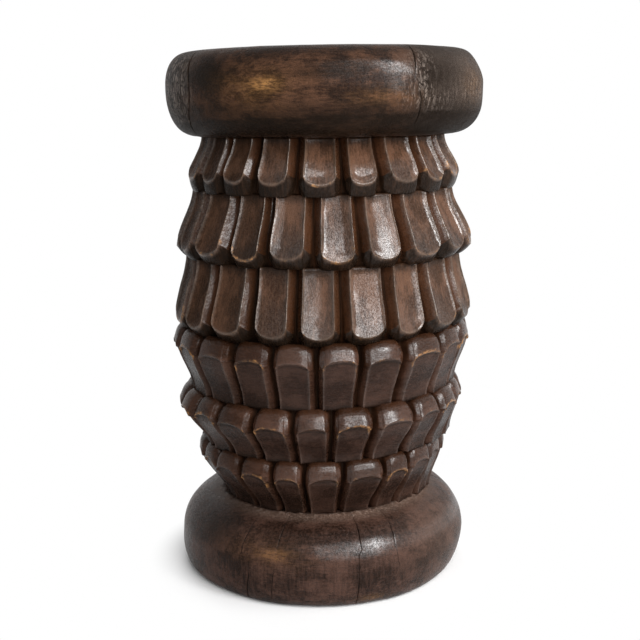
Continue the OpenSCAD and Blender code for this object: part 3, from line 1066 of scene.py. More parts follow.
def turn_foot(sizes):
    """The cushion-shaped foot."""
    base, top = BLOCK_BASE["foot"], BLOCK_TOP["foot"]
    rim, flat, belly = sizes.foot_radius, sizes.foot_flat_radius, sizes.foot_belly
    widest = base + belly
    neck = RINGS["leaf_ring_6"]["neck"] * MM
    toe = quarter(rim, flat, belly, fullness=2.4, count=24)
    shoulder = quarter(rim, neck, top - base - belly, fullness=2.0, count=34)
    path = [(flat * i / 14, base) for i in range(14)]
    path += [(r, widest - z) for r, z in toe[::-1]] + [(r, widest + z) for r, z in shoulder[1:]]
    path += [(neck - (neck - SPIGOT_RADIUS) * i / 12, top) for i in range(1, 13)]
    path += [(SPIGOT_RADIUS, top + SPIGOT_HEIGHT), (0, top + SPIGOT_HEIGHT)]

    def shape(azimuth, along, level, out_z):
        outer = (along > SPIGOT_RADIUS * 1.05) & (level > base + 1e-6)
        skin = hand_skin(azimuth, along, level, FOOT_LUMPS, 0.16, FOOT_SEED)
        at_lip = np.clip(1 - np.abs(along - (neck + 1.5 * MM)) / (4 * MM), 0, 1)
        crumbs = at_lip * (level > widest)
        rough = lumps(azimuth, along, level, CRUMB_SIZE, CRUMB_SEED)
        return (skin - SKIN_DEPTH + crumbs * (LIP_HEIGHT + LIP_CRUMBS * rough)) * MM * outer

    def bend(azimuth, along, level):
        low = np.clip(1 - (level - base) / belly, 0, 1)
        skewed = -sizes.foot_skew * np.sin(azimuth) * low * along / rim * (level < widest)
        at_toe = np.exp(-((level - 0.030) / 0.014) ** 2)
        fuller = FOOT_FULLER * np.clip(np.sin(azimuth), 0, 1) * at_toe
        return skewed + fuller * (along > 0.7 * rim)

    def masks(azimuth, z, r):
        return foot_masks(azimuth, z, r, neck, widest)

    return turned_mesh("carved_foot", path, FOOT_CRACKS, shape, bend, masks)


def opaque(rgb):
    """A colour with its alpha."""
    return (*rgb, 1.0)


def new_group(name, inputs, outputs):
    """An empty shader node group with named inputs and outputs."""
    tree = bpy.data.node_groups.new(name, "ShaderNodeTree")
    for socket, kind, default in inputs:
        made = tree.interface.new_socket(socket, in_out="INPUT", socket_type=kind)
        if default is not None:
            made.default_value = default
    for socket, kind in outputs:
        tree.interface.new_socket(socket, in_out="OUTPUT", socket_type=kind)
    return tree, tree.nodes.new("NodeGroupInput"), tree.nodes.new("NodeGroupOutput")


def stretched(tree, vector, stretch):
    """A vector times a stretch, in lumps or cells per metre."""
    mapping = tree.nodes.new("ShaderNodeMapping")
    mapping.inputs["Scale"].default_value = stretch
    tree.links.new(vector, mapping.inputs["Vector"])
    return mapping.outputs[0]


def shader_noise(tree, vector, stretch, detail, roughness, distortion=0.0):
    """Noise on a vector that is first stretched."""
    node = tree.nodes.new("ShaderNodeTexNoise")
    node.inputs["Scale"].default_value = 1.0
    node.inputs["Detail"].default_value = detail
    node.inputs["Roughness"].default_value = roughness
    node.inputs["Distortion"].default_value = distortion
    tree.links.new(stretched(tree, vector, stretch), node.inputs["Vector"])
    return Field(node.outputs[0])


def shader_creases(tree, vector, stretch):
    """A net of thin creases, 1 in a crease and 0 between them."""
    place = stretched(tree, vector, stretch)
    twist = tree.nodes.new("ShaderNodeTexNoise")
    twist.inputs["Scale"].default_value = 1.3
    twist.inputs["Detail"].default_value = 3.0
    tree.links.new(place, twist.inputs["Vector"])
    add = tree.nodes.new("ShaderNodeVectorMath")
    add.operation = "MULTIPLY_ADD"
    tree.links.new(twist.outputs["Color"], add.inputs[0])
    add.inputs[1].default_value = (1.6, 1.6, 1.6)
    tree.links.new(place, add.inputs[2])
    cells = tree.nodes.new("ShaderNodeTexVoronoi")
    cells.feature = "DISTANCE_TO_EDGE"
    cells.inputs["Scale"].default_value = 1.0
    tree.links.new(add.outputs[0], cells.inputs["Vector"])
    return 1.0 - rise(Field(cells.outputs["Distance"]), 0.02, 0.10)


def mix_colour(tree, share, a, b):
    """A colour between a and b."""
    node = tree.nodes.new("ShaderNodeMix")
    node.data_type = "RGBA"
    connect(tree, share, node.inputs[0])
    connect(tree, a, node.inputs[6])
    connect(tree, b, node.inputs[7])
    return node.outputs[2]


GRAINS = ("Streaks", "Blotches", "Pores", "Scuffs", "Specks", "Wrinkles", "Chatter")


def build_grain_group():
    """Streaks, blotches, pores and scuffs of waxed wood, with x along its grain."""
    tree, given, result = new_group(
        "Wood grain", [("Vector", "NodeSocketVector", None)],
        [(name, "NodeSocketFloat") for name in GRAINS])

    def grain(low, high, *look):
        """Noise that goes from 0 to 1 between two levels."""
        return rise(shader_noise(tree, given.outputs["Vector"], *look), low, high)

    wide = grain(0.40, 0.62, (22, 110, 140), 6.0, 0.68, 0.6)
    thin = grain(0.40, 0.62, (85, 520, 620), 4.0, 0.7, 0.3)
    ripples = grain(0.54, 0.62, (260, 260, 70), 3.0, 0.6, 0.8)
    creases = shader_creases(tree, given.outputs["Vector"], (190, 190, 110))
    fields = {
        "Streaks": wide * 0.4 + thin * 0.6,
        "Blotches": grain(0.36, 0.66, (26, 38, 44), 5.0, 0.65),
        "Pores": grain(0.60, 0.72, (260, 900, 1100), 2.0, 0.7),
        "Scuffs": grain(0.40, 0.62, (330, 620, 680), 4.0, 0.75),
        "Specks": grain(0.38, 0.62, (1000, 1250, 1250), 1.0, 0.6),
        "Wrinkles": larger(creases, ripples * 0.8),
        "Chatter": grain(0.44, 0.58, (460, 460, 60), 3.0, 0.65),
    }
    for name in GRAINS:
        connect(tree, fields[name], result.inputs[name])
    return tree


def build_wear_group():
    """Worn edges: an edge mask broken up by noise."""
    tree, given, result = new_group(
        "Edge wear",
        [("Vector", "NodeSocketVector", None), ("Edge", "NodeSocketFloat", 0.0),
         ("Amount", "NodeSocketFloat", 0.5)],
        [("Mask", "NodeSocketFloat")])
    patchy = shader_noise(tree, given.outputs["Vector"], (130, 130, 130), 6.0, 0.75)
    amount = Field(given.outputs["Amount"])
    edge = Field(given.outputs["Edge"])
    reach = edge + (patchy - 0.5) * 2.6 + amount - 1.0
    connect(tree, rise(reach, 0.0, 0.5) * rise(edge, 0.0, 0.5), result.inputs["Mask"])
    return tree


# Azimuth of the side that hands have polished most, which is also the side that faces the lamps, in
# degrees
HANDLED_AND_LIT_AZIMUTH = 38


def build_zone_group():
    """Where hands have polished the stool: mostly on its front right, the side that faces the
    lamps. The stain is darkened outside it as painted shade.
    """
    tree, given, result = new_group("Handled and lit side", [("Vector", "NodeSocketVector", None)],
                                    [("Zone", "NodeSocketFloat")])
    split = tree.nodes.new("ShaderNodeSeparateXYZ")
    tree.links.new(given.outputs["Vector"], split.inputs[0])
    x, y = Field(split.outputs[0]), Field(split.outputs[1])
    turn = math.radians(HANDLED_AND_LIT_AZIMUTH)
    reach = root(x * x + y * y) + 1 * MM
    facing = (x * math.sin(turn) - y * math.cos(turn)) / reach
    connect(tree, rise(facing, 0.25, 0.85), result.inputs["Zone"])
    return tree


# Inputs of the stain group, with the values they have where a wood doesn't set them
STAIN_NUMBERS = {
    **dict.fromkeys(GRAINS, 0.5), "Zone": 1.0, "Rim": 0.0, "Red": 0.0, "Wrinkled": 0.0,
    "Dull": 0.0, "Contrast": 0.6, "Fleck": 0.15, "Chatter amount": 0.0, "Wear": 0.0, "Gold": 0.0,
    "Dark": 0.0, "Grey": 0.0, "Groove": 0.0, "Crack": 0.0, "Polish": 0.2, "Grime and shade": 0.0,
}
STAIN_COLOURS = {
    "Dark stain": (0.02, 0.012, 0.008), "Light stain": (0.1, 0.06, 0.04),
    "Worn wood": (0.3, 0.15, 0.05), "Grey wood": (0.1, 0.09, 0.08),
    # The dirt colour is also the colour of the painted shade
    "Groove wood": (0.05, 0.015, 0.005), "Dirt and shade": (0.008, 0.006, 0.005),
    "Pale wax and sheen": (0.32, 0.26, 0.22),
}
CRACK_BLACK = (0.002, 0.0015, 0.001, 1)


def stain_colour(tree, number, wood):
    """The stain's colour, with its layers laid over one another."""
    streaks, blotches, scuffs = number["Streaks"], number["Blotches"], number["Scuffs"]
    zone, creased = number["Zone"], number["Wrinkles"] * number["Wrinkled"]
    shade = (rise(streaks * 0.35 + blotches * 0.65, 0.15, 0.85) - 0.5) * number["Contrast"] + 0.5
    shade = shade + (number["Specks"] - 0.5) * number["Fleck"]
    shade = shade + (number["Chatter"] - 0.5) * number["Chatter amount"]
    # Pale wax between the creases of wrinkled wood; on the seat's left end it is also a painted
    # sheen
    pale = number["Wrinkled"] * number["Chatter"] * (1.0 - number["Wrinkles"]) * 0.85
    # In the grooves and the gaps under the tiers the red-brown wood is darkened towards the dirt
    # colour as painted shade, most on the side away from the lamps
    groove_share = (0.05 + blotches * 0.5) * (0.25 + zone * 0.75)
    groove = mix_colour(tree, groove_share, wood["Dirt and shade"], wood["Groove wood"])
    layers = [
        (shade, wood["Light stain"]),
        (number["Grey"] * (0.42 + streaks * 0.25 + blotches * 0.25), wood["Grey wood"]),
        (pale, wood["Pale wax and sheen"]),
        # Grime and painted shade on the side that faces away from the lamps
        ((1.0 - zone) * number["Grime and shade"], wood["Dirt and shade"]),
        # Dark stains, and painted shade wherever the masks put it
        (number["Dark"] * (1.05 - streaks * 0.2), wood["Dirt and shade"]),
        (number["Gold"] * (0.15 + streaks * 0.85), wood["Worn wood"]),
        (number["Red"] * (0.6 + blotches * 0.35), wood["Groove wood"]),
        (number["Groove"], groove),
        (number["Wear"] * (0.4 + scuffs * 0.6), wood["Worn wood"]),
        (larger(number["Pores"] * 0.6, creased), wood["Dirt and shade"]),
        (number["Crack"], CRACK_BLACK),
    ]
    colour = wood["Dark stain"]
    for share, layer in layers:
        colour = mix_colour(tree, share, colour, layer)
    return colour


def build_stain_group():
    """The stained and waxed surface: its colour, roughness, height and coat of wax."""
    tree, given, result = new_group(
        "Waxed stain",
        [(name, "NodeSocketFloat", value) for name, value in STAIN_NUMBERS.items()]
        + [(name, "NodeSocketColor", opaque(value)) for name, value in STAIN_COLOURS.items()],
        [("Color", "NodeSocketColor"), ("Roughness", "NodeSocketFloat"),
         ("Height", "NodeSocketFloat"), ("Coat", "NodeSocketFloat")])
    number = {name: Field(given.outputs[name]) for name in STAIN_NUMBERS}
    wood = {name: given.outputs[name] for name in STAIN_COLOURS}
    streaks, blotches, scuffs = number["Streaks"], number["Blotches"], number["Scuffs"]
    specks, pores, grey = number["Specks"], number["Pores"], number["Grey"]
    creased = number["Wrinkles"] * number["Wrinkled"]
    dull = larger(number["Groove"], larger(number["Crack"], grey * 0.4))
    roughness = (0.20 + blotches * 0.08 + scuffs * 0.10 + dull * 0.35 + pores * 0.15
                 - number["Wear"] * 0.04)
    height = (streaks * 0.4 + scuffs * 0.3 + blotches * 0.2 + specks * 0.4 - pores * 0.7
              + grey * scuffs * 0.6 - creased * 1.2)
    handled = larger(number["Zone"], number["Rim"] * 0.9) * 0.96 + 0.04
    gloss = handled * (1.0 - number["Dull"])
    patchy = (0.3 + specks * 0.7) * (0.42 + scuffs * 0.38 + blotches * 0.2)
    tree.links.new(stain_colour(tree, number, wood), result.inputs["Color"])
    connect(tree, roughness, result.inputs["Roughness"])
    connect(tree, height, result.inputs["Height"])
    connect(tree, number["Polish"] * gloss * (1.0 - dull) * patchy, result.inputs["Coat"])
    return tree


def attribute(tree, name):
    """A painted mask of the piece."""
    node = tree.nodes.new("ShaderNodeAttribute")
    node.attribute_name = name
    return Field(node.outputs["Fac"])


def attributes(tree, names):
    """Painted masks of the piece, by name."""
    return {name: attribute(tree, name) for name in names}


def place_group(tree, group, values):
    """A node group in a material, with its inputs set or linked."""
    node = tree.nodes.new("ShaderNodeGroup")
    node.node_tree = group
    for name, value in values.items():
        connect(tree, value, node.inputs[name])
    return node


# How each wood is finished: how much its edges are worn, how strong its relief is, how thick
# the wax coat is and how rough, how much the wood below it shines, and how much it is mottled
# by specks, by tool chatter, and by grime and painted shade on the side that hands don't reach,
# which faces away from the lamps
SEAT_FINISH = dict(wear=0.3, bump=0.8, polish=0.62, coat_roughness=0.18, specular=0.03,
                   fleck=0.12, chatter=0.1, grime_and_shade=0.0)
FOOT_FINISH = dict(wear=0.3, bump=0.6, polish=1.0, coat_roughness=0.18, specular=0.05,
                   fleck=0.1, chatter=0.3, grime_and_shade=0.0)
HANGING_FINISH = dict(wear=0.35, bump=0.7, polish=1.12, coat_roughness=0.15, specular=0.03,
                      fleck=0.22, chatter=0.0, grime_and_shade=0.24)
STANDING_FINISH = dict(wear=0.5, bump=0.75, polish=0.8, coat_roughness=0.2, specular=0.05,
                       fleck=0.2, chatter=0.0, grime_and_shade=0.15)
SEAT_CONTRAST = 0.75
FOOT_CONTRAST = 0.65
WAX_IOR = 1.72
RELIEF_DEPTH = 0.5 * MM


def wood_material(name, vector_of, masks_of, colours, finish):
    """A waxed wood whose grain, wear, dirt and painted shade come from the shared groups."""
    groups = shared_groups()
    material = bpy.data.materials.new(name)
    material.use_nodes = True
    tree = material.node_tree
    surface = tree.nodes["Principled BSDF"]
    masks = masks_of(tree)
    grain = place_group(tree, groups["grain"], {"Vector": vector_of(tree)})
    worn = place_group(tree, groups["wear"], {
        "Vector": object_vector(tree), "Edge": masks.pop("Edge"), "Amount": finish["wear"]})
    zone = place_group(tree, groups["zone"], {"Vector": object_vector(tree)})
    stain = place_group(tree, groups["stain"], {
        **{key: grain.outputs[key] for key in GRAINS}, **masks,
        **{key: opaque(value) for key, value in colours.items()},
        "Zone": zone.outputs["Zone"], "Wear": worn.outputs["Mask"], "Polish": finish["polish"],
        "Fleck": finish["fleck"], "Chatter amount": finish["chatter"],
        "Grime and shade": finish["grime_and_shade"]})
    relief = tree.nodes.new("ShaderNodeBump")
    relief.inputs["Strength"].default_value = finish["bump"]
    relief.inputs["Distance"].default_value = RELIEF_DEPTH
    tree.links.new(stain.outputs["Height"], relief.inputs["Height"])
    tree.links.new(stain.outputs["Color"], surface.inputs["Base Color"])
    tree.links.new(stain.outputs["Roughness"], surface.inputs["Roughness"])
    tree.links.new(stain.outputs["Coat"], surface.inputs["Coat Weight"])
    tree.links.new(relief.outputs["Normal"], surface.inputs["Normal"])
    surface.inputs["Specular IOR Level"].default_value = finish["specular"]
    surface.inputs["Coat Roughness"].default_value = finish["coat_roughness"]
    surface.inputs["Coat IOR"].default_value = WAX_IOR
    return material


def object_vector(tree):
    return tree.nodes.new("ShaderNodeTexCoord").outputs["Object"]


def leaf_vector(across):
    """Coordinates on a leaf, with x down the leaf, or across it."""
    def vector(tree):
        node = tree.nodes.new("ShaderNodeCombineXYZ")
        run, offset = attribute(tree, "run"), attribute(tree, "offset")
        first, second = (offset, run) if across else (run, offset)
        connect(tree, first, node.inputs[0])
        connect(tree, second, node.inputs[1])
        connect(tree, attribute(tree, "tone") * 3.0, node.inputs[2])
        return node.outputs[0]
    return vector


def turned_masks(contrast):
    """Masks for a turned block, whose blotches are fainter on a flat top."""
    def masks(tree):
        found = attributes(tree, ["gold", "dark", "grey", "crack", "wrinkled", "dull", "even"])
        return {"Edge": found["gold"] * 0.3, "Gold": found["gold"] * 0.8, "Dark": found["dark"],
                "Crack": found["crack"], "Wrinkled": found["wrinkled"], "Grey": found["grey"],
                "Dull": found["dull"], "Contrast": contrast * (1.0 - found["even"] * 0.45)}
    return masks


# How strong each mask is on the hanging and on the standing leaves: the dark wax and painted
# shade on the flanks, the red on the flanks and the ends, the grey on the rubbed edges, which is
# partly a painted highlight along them, and the polish on the edges, the right flanks and the ends
HANGING_LOOK = dict(flank_wax_and_shade=1.0, red_flank=0.8, red_end=0.0, pale_edge_and_glint=0.35,
                    polish_edge=1.0, polish_flank=0.6, polish_end=0.0)
STANDING_LOOK = dict(flank_wax_and_shade=0.6, red_flank=0.35, red_end=0.6, pale_edge_and_glint=0.12,
                     polish_edge=0.5, polish_flank=0.3, polish_end=0.2)


def hanging_shades(found):
    """How dull, how dark and how blotchy a hanging leaf is. Its dark is painted shade on the
    down-facing bevelled ends, partly dark wax, and at the neck under the tier above.
    """
    unrubbed = (1.0 - found["rubbed"]) * (1.0 - found["on_flank"])
    dull = largest(found["bevel"] * 0.75, found["left_flank"] * 0.9, found["root"] * 0.8,
                   unrubbed * 0.66)
    dark = larger(found["bevel"] * 0.95, found["root"] * 0.7)
    return dull, dark, 0.58


def standing_shades(found):
    """How dull, how dark and how blotchy a standing leaf is. Its dark is painted shade on the
    down-facing face, at the neck, in a line under the lip and at the top of the end under the tier
    above, with soot on the ends of some leaves.
    """
    face = 1.0 - found["bevel"]
    dull = largest(face * 0.75, found["left_flank"] * 0.9, found["right_flank"] * 0.5)
    sooty_end = found["bevel"] * rise(found["gold"] * -1.0, -0.5, -0.2)
    # Painted shade on the face, the neck, the lip's shadow line and the end's top; random soot on
    # some ends
    dark = largest(face * 0.35, found["root"] * 0.7, found["lip_shadow_and_dirt"] * 0.9,
                   rise(found["along"], 0.86, 1.0) * 0.75, sooty_end * 0.3)
    return dull, dark, 0.55 + found["bevel"] * 0.7


def leaf_masks(shades, look):
    """Masks for a ring of leaves."""
    def masks(tree):
        found = attributes(tree, [
            "arris", "edge", "groove", "root", "bevel", "flank", "gold", "along", "amber",
            "offset", "tone", "lip_shadow_and_dirt", "rubbed"])
        on_flank = found["on_flank"] = rise(found["flank"], 0.02, 0.2)
        right_flank = found["right_flank"] = on_flank * is_over(found["offset"], 0.0)
        found["left_flank"] = on_flank - right_flank
        dull, dark, contrast = shades(found)
        soot = rise(found["tone"], 0.45, 0.75) * rise(found["along"], 0.55, 0.8)
        dark = larger(dark, soot * 0.6) * (1.0 - on_flank)
        # Dark wax and painted shade on the flanks, deepening towards the leaf's end where they run
        # into the groove
        flank_wax_and_shade = on_flank * (0.2 + rise(found["along"], 0.45, 0.92) * 0.65) * look["flank_wax_and_shade"]
        amber = found["amber"] * (0.28 + found["gold"] * 0.6)
        return {
            "Edge": largest(found["arris"] * 0.2, found["edge"] * 0.15, amber),
            "Groove": found["groove"],
            "Red": larger(on_flank * look["red_flank"], found["bevel"] * look["red_end"]),
            "Contrast": contrast,
            # Paler rubbed edges, partly a painted highlight along them
            "Grey": found["arris"] * look["pale_edge_and_glint"],
            "Dull": dull * (1.0 - found["arris"]),
            "Rim": largest(found["arris"] * look["polish_edge"],
                           right_flank * look["polish_flank"],
                           found["bevel"] * look["polish_end"]),
            "Dark": larger(dark, flank_wax_and_shade) * (1.0 - found["arris"]),
        }
    return masks


def shared_groups():
    """The shader groups that every wood uses, built once."""
    builders = {
        "grain": ("Wood grain", build_grain_group), "wear": ("Edge wear", build_wear_group),
        "zone": ("Handled and lit side", build_zone_group), "stain": ("Waxed stain", build_stain_group),
    }
    return {key: bpy.data.node_groups.get(name) or build()
            for key, (name, build) in builders.items()}


class StoolSettings(bpy.types.PropertyGroup):
    """Sizes and colours of the stool, and the power of its lamps."""

    hanging_face: FloatProperty(
        name="Hanging face share", default=0.66, min=0.5, max=0.9,
        description="Share of a hanging leaf's pitch that its hollow face takes")
    standing_face: FloatProperty(
        name="Standing face share", default=0.71, min=0.5, max=0.9,
        description="Share of a standing leaf's pitch that its face takes")
    hanging_flank: FloatProperty(
        name="Hanging flank share", default=0.89, min=0.8, max=0.98,
        description="Share of the pitch that a hanging leaf's face and flanks take")
    standing_flank: FloatProperty(
        name="Standing flank share", default=0.88, min=0.8, max=0.98,
        description="Share of the pitch that a standing leaf's face and flanks take")
    groove_share: FloatProperty(
        name="Groove share", default=0.965, min=0.86, max=0.995,
        description="Share of the pitch up to the floor of the groove")
    hanging_hollow: FloatProperty(
        name="Hanging face hollow", default=3.2 * MM, unit="LENGTH",
        description="Depth of the spoon-shaped hollow in a hanging leaf's face")
    standing_hollow: FloatProperty(
        name="Standing face hollow", default=0.8 * MM, unit="LENGTH",
        description="Depth of the shallow hollow in a standing leaf's face")
    hanging_drop: FloatProperty(
        name="Hanging flank drop", default=6.8 * MM, unit="LENGTH",
        description="How far the bevel beside a hanging leaf's face slopes in")
    standing_drop: FloatProperty(
        name="Standing flank drop", default=4.2 * MM, unit="LENGTH",
        description="How far the bevel beside a standing leaf's face slopes in")
    groove_depth: FloatProperty(
        name="Groove depth", default=8.0 * MM, unit="LENGTH",
        description="Depth of the grooves at the leaves' necks")
    groove_tip_depth: FloatProperty(
        name="Groove depth at the tips", default=10.0 * MM, unit="LENGTH",
        description="Depth of the grooves beside the leaves' tips")
    hanging_bulge: FloatProperty(
        name="Hanging bulge", default=0.5 * MM, unit="LENGTH",
        description="How far a hanging leaf's end is rounded out")
    standing_bulge: FloatProperty(
        name="Standing bulge", default=2.0 * MM, unit="LENGTH",
        description="How far a standing leaf's end is rounded out")
    hanging_round: FloatProperty(
        name="Hanging round", default=8.5 * MM, unit="LENGTH",
        description="Rise of the U-shaped end of a hanging face")
    standing_round: FloatProperty(
        name="Standing round", default=5 * MM, unit="LENGTH",
        description="Drop of the arch over a standing face")
    end_round: FloatProperty(
        name="End round", default=4.5 * MM, unit="LENGTH",
        description="How far the corners of a leaf's end are rounded off")
    end_taper: FloatProperty(
        name="End taper", default=0.1, min=0.0, max=0.5,
        description="Share of its width that a leaf loses towards its end")
    hanging_rim: FloatProperty(
        name="Hanging rim", default=0.8 * MM, unit="LENGTH",
        description="Height of the raised rim around a hanging leaf's face")
    standing_rim: FloatProperty(
        name="Standing rim", default=0.3 * MM, unit="LENGTH",
        description="Height of the raised rim beside a standing leaf's face")
    hanging_lip: FloatProperty(
        name="Hanging lip", default=0.6 * MM, unit="LENGTH",
        description="Height of the lip at the end of a hanging leaf's face")
    standing_lip: FloatProperty(
        name="Standing lip", default=1.7 * MM, unit="LENGTH",
        description="Height of the lip over a standing leaf's face")
    end_crown: FloatProperty(
        name="End crown", default=2.2 * MM, unit="LENGTH",
        description="How far the sides of a leaf's end are rounded back")
    tip_step: FloatProperty(
        name="Tip step", default=2 * MM, unit="LENGTH",
        description="How far a leaf's end stands out over the next block")
    overhang: FloatProperty(
        name="Overhang", default=1.5 * MM, unit="LENGTH",
        description="How far a leaf's end reaches over the next tier")
    undercut: FloatProperty(
        name="Undercut", default=3.5 * MM, unit="LENGTH",
        description="Depth of the dark gap between two tiers")
    arris_round: FloatProperty(
        name="Arris round", default=0.4 * MM, unit="LENGTH",
        description="Worn width of the sharp edges")
    waviness: FloatProperty(
        name="Waviness", default=0.5 * MM, unit="LENGTH",
        description="Unevenness of the hand carving")
    seat_radius: FloatProperty(
        name="Seat radius", default=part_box("seat")[1].x, unit="LENGTH",
        description="Radius of the seat at its widest")
    seat_flat_radius: FloatProperty(
        name="Seat flat radius", default=110 * MM, unit="LENGTH",
        description="Radius of the flat sitting surface")
    seat_crown: FloatProperty(
        name="Seat crown", default=28 * MM, unit="LENGTH",
        description="Height from the seat's widest line to its top")
    foot_radius: FloatProperty(
        name="Foot radius", default=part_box("foot")[1].x, unit="LENGTH",
        description="Radius of the foot at its widest")
    foot_flat_radius: FloatProperty(
        name="Foot flat radius", default=112 * MM, unit="LENGTH",
        description="Radius of the flat underside")
    foot_skew: FloatProperty(
        name="Foot skew", default=2.6 * MM, unit="LENGTH",
        description="How much further the foot's toe reaches on its left")
    foot_belly: FloatProperty(
        name="Foot belly", default=32 * MM, unit="LENGTH",
        description="Height of the foot's widest line")
    key_power: FloatProperty(
        name="Key lamp", default=33.0, min=0.0,
        description="Power of the main lamp on the front right, in watts")
    core_power: FloatProperty(
        name="Core lamp", default=6.5, min=0.0,
        description="Power of the bright lamp on the right, in watts")
    side_power: FloatProperty(
        name="Side lamp", default=10.0, min=0.0,
        description="Power of the soft lamp on the right, in watts")
    back_power: FloatProperty(
        name="Back lamp", default=12.0, min=0.0,
        description="Power of the lamp behind the stool, in watts")
    world_light: FloatProperty(
        name="World light", default=0.15, min=0.0,
        description="Strength of the plain light from all around")
    seat_dark: FloatVectorProperty(
        name="Seat dark", subtype="COLOR", default=(0.008, 0.0045, 0.0035),
        description="Darkest stain of the seat")
    seat_light: FloatVectorProperty(
        name="Seat light", subtype="COLOR", default=(0.091, 0.0435, 0.025),
        description="Lightest stain of the seat")
    hanging_dark: FloatVectorProperty(
        name="Hanging leaf dark", subtype="COLOR", default=(0.018, 0.0088, 0.0045),
        description="Darkest stain of the hanging leaves")
    hanging_light: FloatVectorProperty(
        name="Hanging leaf light", subtype="COLOR", default=(0.116, 0.057, 0.033),
        description="Lightest stain of the hanging leaves")
    standing_dark: FloatVectorProperty(
        name="Standing leaf dark", subtype="COLOR", default=(0.013, 0.0055, 0.0035),
        description="Darkest stain of the standing leaves")
    standing_light: FloatVectorProperty(
        name="Standing leaf light", subtype="COLOR", default=(0.070, 0.0355, 0.0250),
        description="Lightest stain of the standing leaves")
    foot_dark: FloatVectorProperty(
        name="Foot dark", subtype="COLOR", default=(0.011, 0.005, 0.003),
        description="Darkest stain of the foot")
    foot_light: FloatVectorProperty(
        name="Foot light", subtype="COLOR", default=(0.068, 0.0345, 0.0245),
        description="Lightest stain of the foot")
    foot_grey: FloatVectorProperty(
        name="Foot grey", subtype="COLOR", default=(0.17, 0.108, 0.08),
        description="Pale wood of the foot's lip")
    worn_wood: FloatVectorProperty(
        name="Worn wood", subtype="COLOR", default=(0.29, 0.140, 0.050),
        description="Amber wood where the stain is rubbed off")
    groove_wood: FloatVectorProperty(
        name="Groove wood", subtype="COLOR", default=(0.048, 0.017, 0.0065),
        description="Red-brown wood in the grooves")
    # Paler wood along the leaves' edges: rubbed wear, and partly a painted highlight
    rubbed_and_glint_wood: FloatVectorProperty(
        name="Rubbed wood and glints", subtype="COLOR", default=(0.15, 0.115, 0.085),
        description="Paler stain along the leaves' rubbed edges")
    seat_gold: FloatVectorProperty(
        name="Seat gold", subtype="COLOR", default=(0.40, 0.20, 0.065),
        description="Golden wood where the seat is worn through")
    grey_wood: FloatVectorProperty(
        name="Grey wood", subtype="COLOR", default=(0.058, 0.044, 0.036),
        description="Weathered end grain of the seat")
    # Dark wax and dirt, and also the colour of the painted shade on every wood
    dirt_and_shade_wood: FloatVectorProperty(
        name="Dirt and shade", subtype="COLOR", default=(0.0085, 0.005, 0.003),
        description="Dark wax and dirt on the seat and foot")


class STOOL_OT_build_seat(bpy.types.Operator):
    """Turn the seat, crack it and stain it"""

    bl_idname = "stool.build_seat"
    bl_label = "Build Seat"

    def execute(self, context):
        look = context.scene.stool
        colours = {"Dark stain": look.seat_dark, "Light stain": look.seat_light,
                   "Grey wood": look.grey_wood, "Worn wood": look.seat_gold,
                   "Dirt and shade": look.dirt_and_shade_wood}
        mesh = turn_seat(look)
        mesh.materials.append(wood_material(
            "seat_wood", object_vector, turned_masks(SEAT_CONTRAST), colours, SEAT_FINISH))
        dress(mesh, "carved_seat", "seat")
        return {"FINISHED"}


class STOOL_OT_build_foot(bpy.types.Operator):
    """Turn the foot, crack it and stain it"""

    bl_idname = "stool.build_foot"
    bl_label = "Build Foot"

    def execute(self, context):
        look = context.scene.stool
        colours = {"Dark stain": look.foot_dark, "Light stain": look.foot_light,
                   "Grey wood": look.foot_grey, "Worn wood": look.worn_wood,
                   "Dirt and shade": look.dirt_and_shade_wood}
        mesh = turn_foot(look)
        mesh.materials.append(wood_material(
            "foot_wood", object_vector, turned_masks(FOOT_CONTRAST), colours, FOOT_FINISH))
        dress(mesh, "carved_foot", "foot")
        return {"FINISHED"}


class STOOL_OT_build_leaf_rings(bpy.types.Operator):
    """Carve the six rings of leaves"""

    bl_idname = "stool.build_leaf_rings"
    bl_label = "Build Leaf Rings"

    def execute(self, context):
        look = context.scene.stool
        tree = build_ring_tree()
        shared = {"Worn wood": look.worn_wood, "Groove wood": look.groove_wood,
                  "Grey wood": look.rubbed_and_glint_wood, "Dirt and shade": look.dirt_and_shade_wood}
        hanging = {"Dark stain": look.hanging_dark, "Light stain": look.hanging_light, **shared}
        standing = {"Dark stain": look.standing_dark, "Light stain": look.standing_light, **shared}
        woods = {
            "hanging_leaf_wood": wood_material(
                "hanging_leaf_wood", leaf_vector(False), leaf_masks(hanging_shades, HANGING_LOOK),
                hanging, HANGING_FINISH),
            "standing_leaf_wood": wood_material(
                "standing_leaf_wood", leaf_vector(True), leaf_masks(standing_shades, STANDING_LOOK),
                standing, STANDING_FINISH),
        }
        for name in RING_NAMES:
            slot = "hanging_leaf_wood" if RINGS[name]["hangs"] else "standing_leaf_wood"
            mesh = carve_ring(tree, name, look, woods[slot])
            dress(mesh, "carved_" + name, name)
        return {"FINISHED"}


# The lamps: azimuth and elevation in degrees, distance and size in metres, and whether each one
# shows in reflections. They face the middle of the stool.
LAMPS = {
    "key": dict(azimuth=25, elevation=28, distance=1.5, size=(1.5, 1.25), mirrored=True),
    "core": dict(azimuth=50, elevation=32, distance=1.4, size=(0.35, 0.5), mirrored=True),
    "side": dict(azimuth=75, elevation=18, distance=1.6, size=(1.0, 1.0), mirrored=False),
    "back": dict(azimuth=-165, elevation=35, distance=1.8, size=(1.0, 0.8), mirrored=False),
}
LAMP_TARGET = Vector((0, 0, 0.25))


